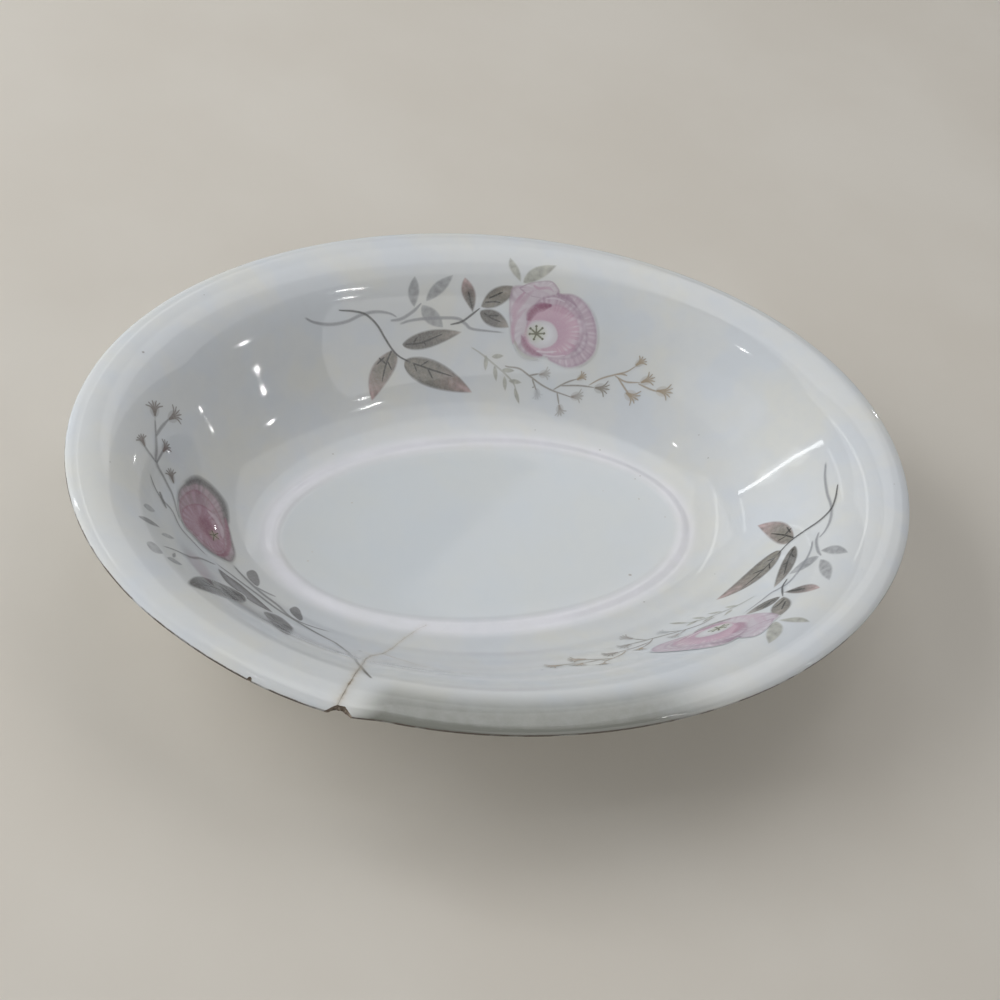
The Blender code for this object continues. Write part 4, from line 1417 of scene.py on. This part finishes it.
def draw_end_rose(spray):
    """Rose of the end spray seen from the side: a dark grey-green outer petal round rings of deep pink."""
    outline = [(0.4, 15.9), (5.4, 16.2), (9.8, 14.4), (15.6, 10.6), (17.7, 7.0), (17.6, 2.8),
               (15.7, -1.1), (11.6, -3.7), (5.3, -5.0), (-1.4, -6.0), (-9.3, -6.0), (-14.1, -3.2),
               (-13.4, 0.7), (-11.7, 5.8), (-8.5, 10.8), (-5.8, 14.9)]
    spray.field(outline, (1.0, 5.0), paint_petal(END_MAUVE, END_GREEN, ROSE_SOFT, 8.0, 11.0, 0.93), 3,
                0.92, soft=0.6, columns=200)
    spray.stroke([(9.8, 13.6), (14.4, 10.6), (16.4, 7.0), (16.3, 2.8), (14.3, -0.9), (10.6, -3.0),
                  (5.2, -4.4)], 2.6, END_GREEN, 0.8, ends=(0.5, 0.5), layer=4)
    spray.field([(0.4, 15.9), (6.1, 13.7), (11.6, 9.6), (12.8, 5.2), (11.0, 1.2), (7.5, -1.7),
                 (2.3, -3.4), (-4.1, -4.3), (-9.9, -3.4), (-12.6, -0.1), (-11.5, 4.5), (-8.7, 9.6),
                 (-6.1, 14.6)], (1.0, 5.0),
                paint_petal(END_MAUVE, END_CRIMSON, ROSE_PINK, 7.0, 12.0, 0.96), 5, 0.9, soft=0.5,
                columns=200)
    spray.field([(-1.0, 14.7), (2.8, 12.2), (7.0, 7.6), (8.3, 3.7), (6.8, 0.3), (2.4, -2.2), (-3.2, -3.2),
                 (-8.2, -2.3), (-11.0, 1.1), (-9.2, 4.8), (-6.7, 9.8), (-5.2, 13.9)], (-1.0, 5.0),
                paint_petal(END_PINK, END_CRIMSON, ROSE_SOFT, 6.0, 13.0, 0.95), 6, 0.9, soft=0.5,
                columns=180)
    spray.field([(-0.9, 8.5), (2.7, 7.3), (5.2, 4.5), (4.1, 1.4), (0.4, -0.9), (-3.9, -1.4), (-6.5, 0.1),
                 (-5.9, 2.9), (-4.2, 6.3)], (-0.5, 3.0), paint_plain(END_CRIMSON, END_PINK), 7, 0.75,
                soft=1.6, columns=96)
    spray.stroke([(8.5, -3.2), (2.1, -4.3), (-4.9, -4.2), (-10.4, -1.6), (-11.8, 2.3)], 1.3, END_CRIMSON,
                 0.85, ends=(0.4, 0.5), layer=8)
    spray.stroke([(7.0, 3.2), (5.6, 0.2), (1.7, -2.2), (-2.8, -2.5)], 1.4, ROSE_PALE, 0.7,
                 ends=(0.5, 0.3), layer=9)
    draw_stamens(spray, (-2.6, 0.7), [(-1.1, 1.3), (-1.0, -0.8), (-3.6, -0.8), (-5.2, 1.4), (-3.2, 2.3)],
                 0.8)


def draw_end_spray(name, place):
    """The longer and darker spray of the left end, whose stem crosses the crack."""
    spray = Spray(name, place)
    draw_end_stems(spray)
    draw_end_leaves(spray)
    draw_end_rose(spray)
    spray.finish(crack_paths())


# Specks in the glaze and dirt on it: degrees round the oval, millimetres out from the floor's edge,
# radius in millimetres and how dark, from 0 to 1
SPECKS = [(145.1, 51.9, 0.55, 0.7), (127.7, 55.1, 0.30, 0.5), (172.9, 48.9, 0.30, 0.5),
          (122.3, 6.0, 0.45, 0.4), (68.5, 19.7, 0.42, 0.95), (66.0, 6.6, 0.35, 0.4),
          (45.6, 3.9, 0.40, 0.4), (31.8, -13.8, 0.30, 0.3), (26.8, -2.4, 0.35, 0.45),
          (26.5, -0.5, 0.30, 0.5), (14.5, -9.0, 0.35, 0.6), (-3.0, -4.8, 0.35, 0.4),
          (24.6, 21.8, 0.35, 0.4), (17.1, 18.7, 0.40, 0.5), (-55.4, 5.5, 0.40, 0.5),
          (-170.0, -7.6, 0.35, 0.3), (-176.2, -10.4, 0.30, 0.3), (136.0, -12.8, 0.35, 0.35),
          (-48.5, -4.9, 0.70, 0.6), (-93.5, 25.5, 0.50, 0.8), (-15.0, 55.7, 0.35, 0.4),
          (-34.5, 14.1, 0.30, 0.4), (-128.3, 19.2, 0.90, 0.35)]
SPECK_BROWN = (104, 92, 78)


def draw_specks(name):
    """Thin uneven spots with soft edges on the inside of the bowl."""
    columns = 12
    turns = 2.0 * math.pi * np.arange(columns) / columns
    points, normals, faces, covers = [], [], [], []
    for index, (angle, offset, radius, dark) in enumerate(SPECKS):
        middle, upward = inner_places(0.001 * offset, math.radians(angle), 2.0 * LIFT_FIRST)
        first = np.cross(upward, (0.0, 1.0, 0.0))
        first /= np.linalg.norm(first)
        second = np.cross(upward, first)
        uneven = 1.0 + 0.3 * round_noise(columns, 1.3, float(index))
        ring = (first * np.cos(turns)[:, None] + second * 0.7 * np.sin(turns)[:, None]) * uneven[:, None]
        start = len(points)
        points.append(middle)
        covers.append(dark)
        for share, cover in ((0.35, 0.9), (0.7, 0.5), (1.0, 0.0)):
            points.extend(middle + 0.001 * radius * share * ring)
            covers.extend([dark * cover] * columns)
        normals.extend([upward] * (1 + 3 * columns))
        faces += [(start, start + 1 + column, start + 1 + (column + 1) % columns)
                  for column in range(columns)]
        faces += grid_faces(3, columns, start + 1, closed=True)
    points, normals = np.array(points), np.array(normals)
    paints = np.tile(np.array(SPECK_BROWN, dtype=float), (len(points), 1))
    faces = turned_faces(faces, points, normals, np.full(len(points), 1.0))
    print_piece(name, points, normals, faces, paints, np.array(covers), np.zeros(len(points)))


# Camera, light and floor

def build_camera():
    data = bpy.data.cameras.new("camera")
    data.sensor_width = CAMERA_SENSOR
    data.lens = CAMERA_LENS
    data.clip_start = 0.01
    data.clip_end = 20.0
    camera = add_object("camera", data)
    camera.location = CAMERA_PLACE
    camera.rotation_euler = [math.radians(turn) for turn in CAMERA_TURN]
    bpy.context.scene.camera = camera


def direction(azimuth, elevation):
    """Unit vector at degrees anticlockwise from +X and degrees above the table."""
    azimuth, elevation = math.radians(azimuth), math.radians(elevation)
    return Vector((math.cos(azimuth) * math.cos(elevation), math.sin(azimuth) * math.cos(elevation),
                   math.sin(elevation)))


# Distance of the lights from the bowl, side of the large ones and distance of the small panes, in metres
LIGHT_DISTANCE = 1.2
SOFT_BOX = (0.9, 0.9)
PANE_DISTANCE = 1.3
# Watts for each square metre of a pane
PANE_POWER = 300.0


def add_light(name, azimuth, elevation, size, power, colour=(1.0, 1.0, 1.0), turn=0.0, seen=True,
              distance=LIGHT_DISTANCE):
    """Soft rectangular light that faces the bowl from a direction, seen in the glaze or not."""
    data = bpy.data.lights.new(name, 'AREA')
    data.shape = 'RECTANGLE'
    data.size, data.size_y = size
    data.energy = power
    data.color = colour
    light = add_object(name, data)
    light.visible_glossy = seen
    light.location = direction(azimuth, elevation) * distance + Vector((0.0, 0.0, FLOOR_LEVEL))
    facing = (Vector((0.0, 0.0, FLOOR_LEVEL)) - light.location).to_track_quat('-Z', 'Y')
    light.rotation_euler = (facing.to_matrix() @ Matrix.Rotation(math.radians(turn), 3, 'Z')).to_euler()


# Small bright panes that the glaze reflects: azimuth and elevation in degrees, width and height in metres
PANES = [(-36.5, 49.2, 0.03, 0.010), (-29.5, 55.7, 0.08, 0.008), (-20.5, 32.5, 0.034, 0.024),
         (-25.9, 21.1, 0.012, 0.022), (-5.1, 11.4, 0.012, 0.012), (31.0, 13.0, 0.020, 0.016),
         (-164.2, 76.5, 0.04, 0.014)]


def build_lights():
    add_light("side", 160.0, 28.0, SOFT_BOX, 11.0, (0.96, 0.98, 1.0), seen=False)
    add_light("side_low", 205.0, 28.0, SOFT_BOX, 1.2, (0.97, 0.98, 1.0))
    add_light("front", 295.0, 28.0, SOFT_BOX, 2.6, (1.0, 1.0, 0.99))
    add_light("right", 25.0, 58.0, SOFT_BOX, 1.9, (1.0, 0.99, 0.98))
    add_light("back", 70.0, 58.0, SOFT_BOX, 2.1, (0.98, 0.99, 1.0))
    add_light("window", 141.0, 31.0, (0.20, 0.16), 0.14, (0.95, 0.98, 1.0))
    add_light("window_bar", 137.3, 37.3, (0.43, 0.045), 0.50, (0.95, 0.98, 1.0), turn=-60.0)
    add_light("window_edge", 112.0, 37.0, (0.52, 0.04), 0.10, turn=39.0)
    add_light("window_side", 85.0, 49.0, (0.83, 0.05), 0.22, (1.0, 1.0, 0.96), turn=50.0)
    for index, (azimuth, elevation, *size) in enumerate(PANES):
        power = PANE_POWER * size[0] * size[1]
        add_light("pane_%d" % index, azimuth, elevation, size, power, distance=PANE_DISTANCE)


# Room colours: the light it gives, and what the camera and the glaze see of it; strength of its light
ROOM_LIGHT = (0.72, 0.76, 0.80, 1.0)
ROOM_SEEN = (0.93, 0.93, 0.92, 1.0)
ROOM_STRENGTH = 0.04


def build_world():
    world = bpy.data.worlds.new("room")
    bpy.context.scene.world = world
    world.use_nodes = True
    tree = world.node_tree
    back = tree.nodes["Background"]
    path = add_node(tree, "ShaderNodeLightPath")
    seen = math_node(tree, 'MAXIMUM', path.outputs["Is Camera Ray"], path.outputs["Is Transmission Ray"])
    seen = math_node(tree, 'MAXIMUM', seen, path.outputs["Is Glossy Ray"])
    colour = mix_node(tree, seen, ROOM_LIGHT, ROOM_SEEN)
    tree.links.new(colour, back.inputs["Color"])
    strength = range_node(tree, seen, 0.0, 1.0, ROOM_STRENGTH, 1.0)
    tree.links.new(strength, back.inputs["Strength"])


def build_table():
    half = 3.0
    corners = [(-half, -half, 0.0), (half, -half, 0.0), (half, half, 0.0), (-half, half, 0.0)]
    table = add_object("table", mesh_from("table", corners, [(0, 1, 2, 3)]))
    table.data.materials.append(bpy.data.materials["table"])


def main():
    make_glaze()
    make_broken_edge()
    make_print()
    make_floor()
    build_camera()
    build_bowl()
    draw_wall_spray("spray_back", BACK_PLACE)
    draw_wall_spray("spray_right", RIGHT_PLACE, 1, 0.5)
    draw_end_spray("spray_left", LEFT_PLACE)
    draw_specks("specks")
    build_table()
    build_lights()
    build_world()
    bpy.context.scene.view_settings.view_transform = 'Standard'
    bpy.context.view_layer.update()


main()
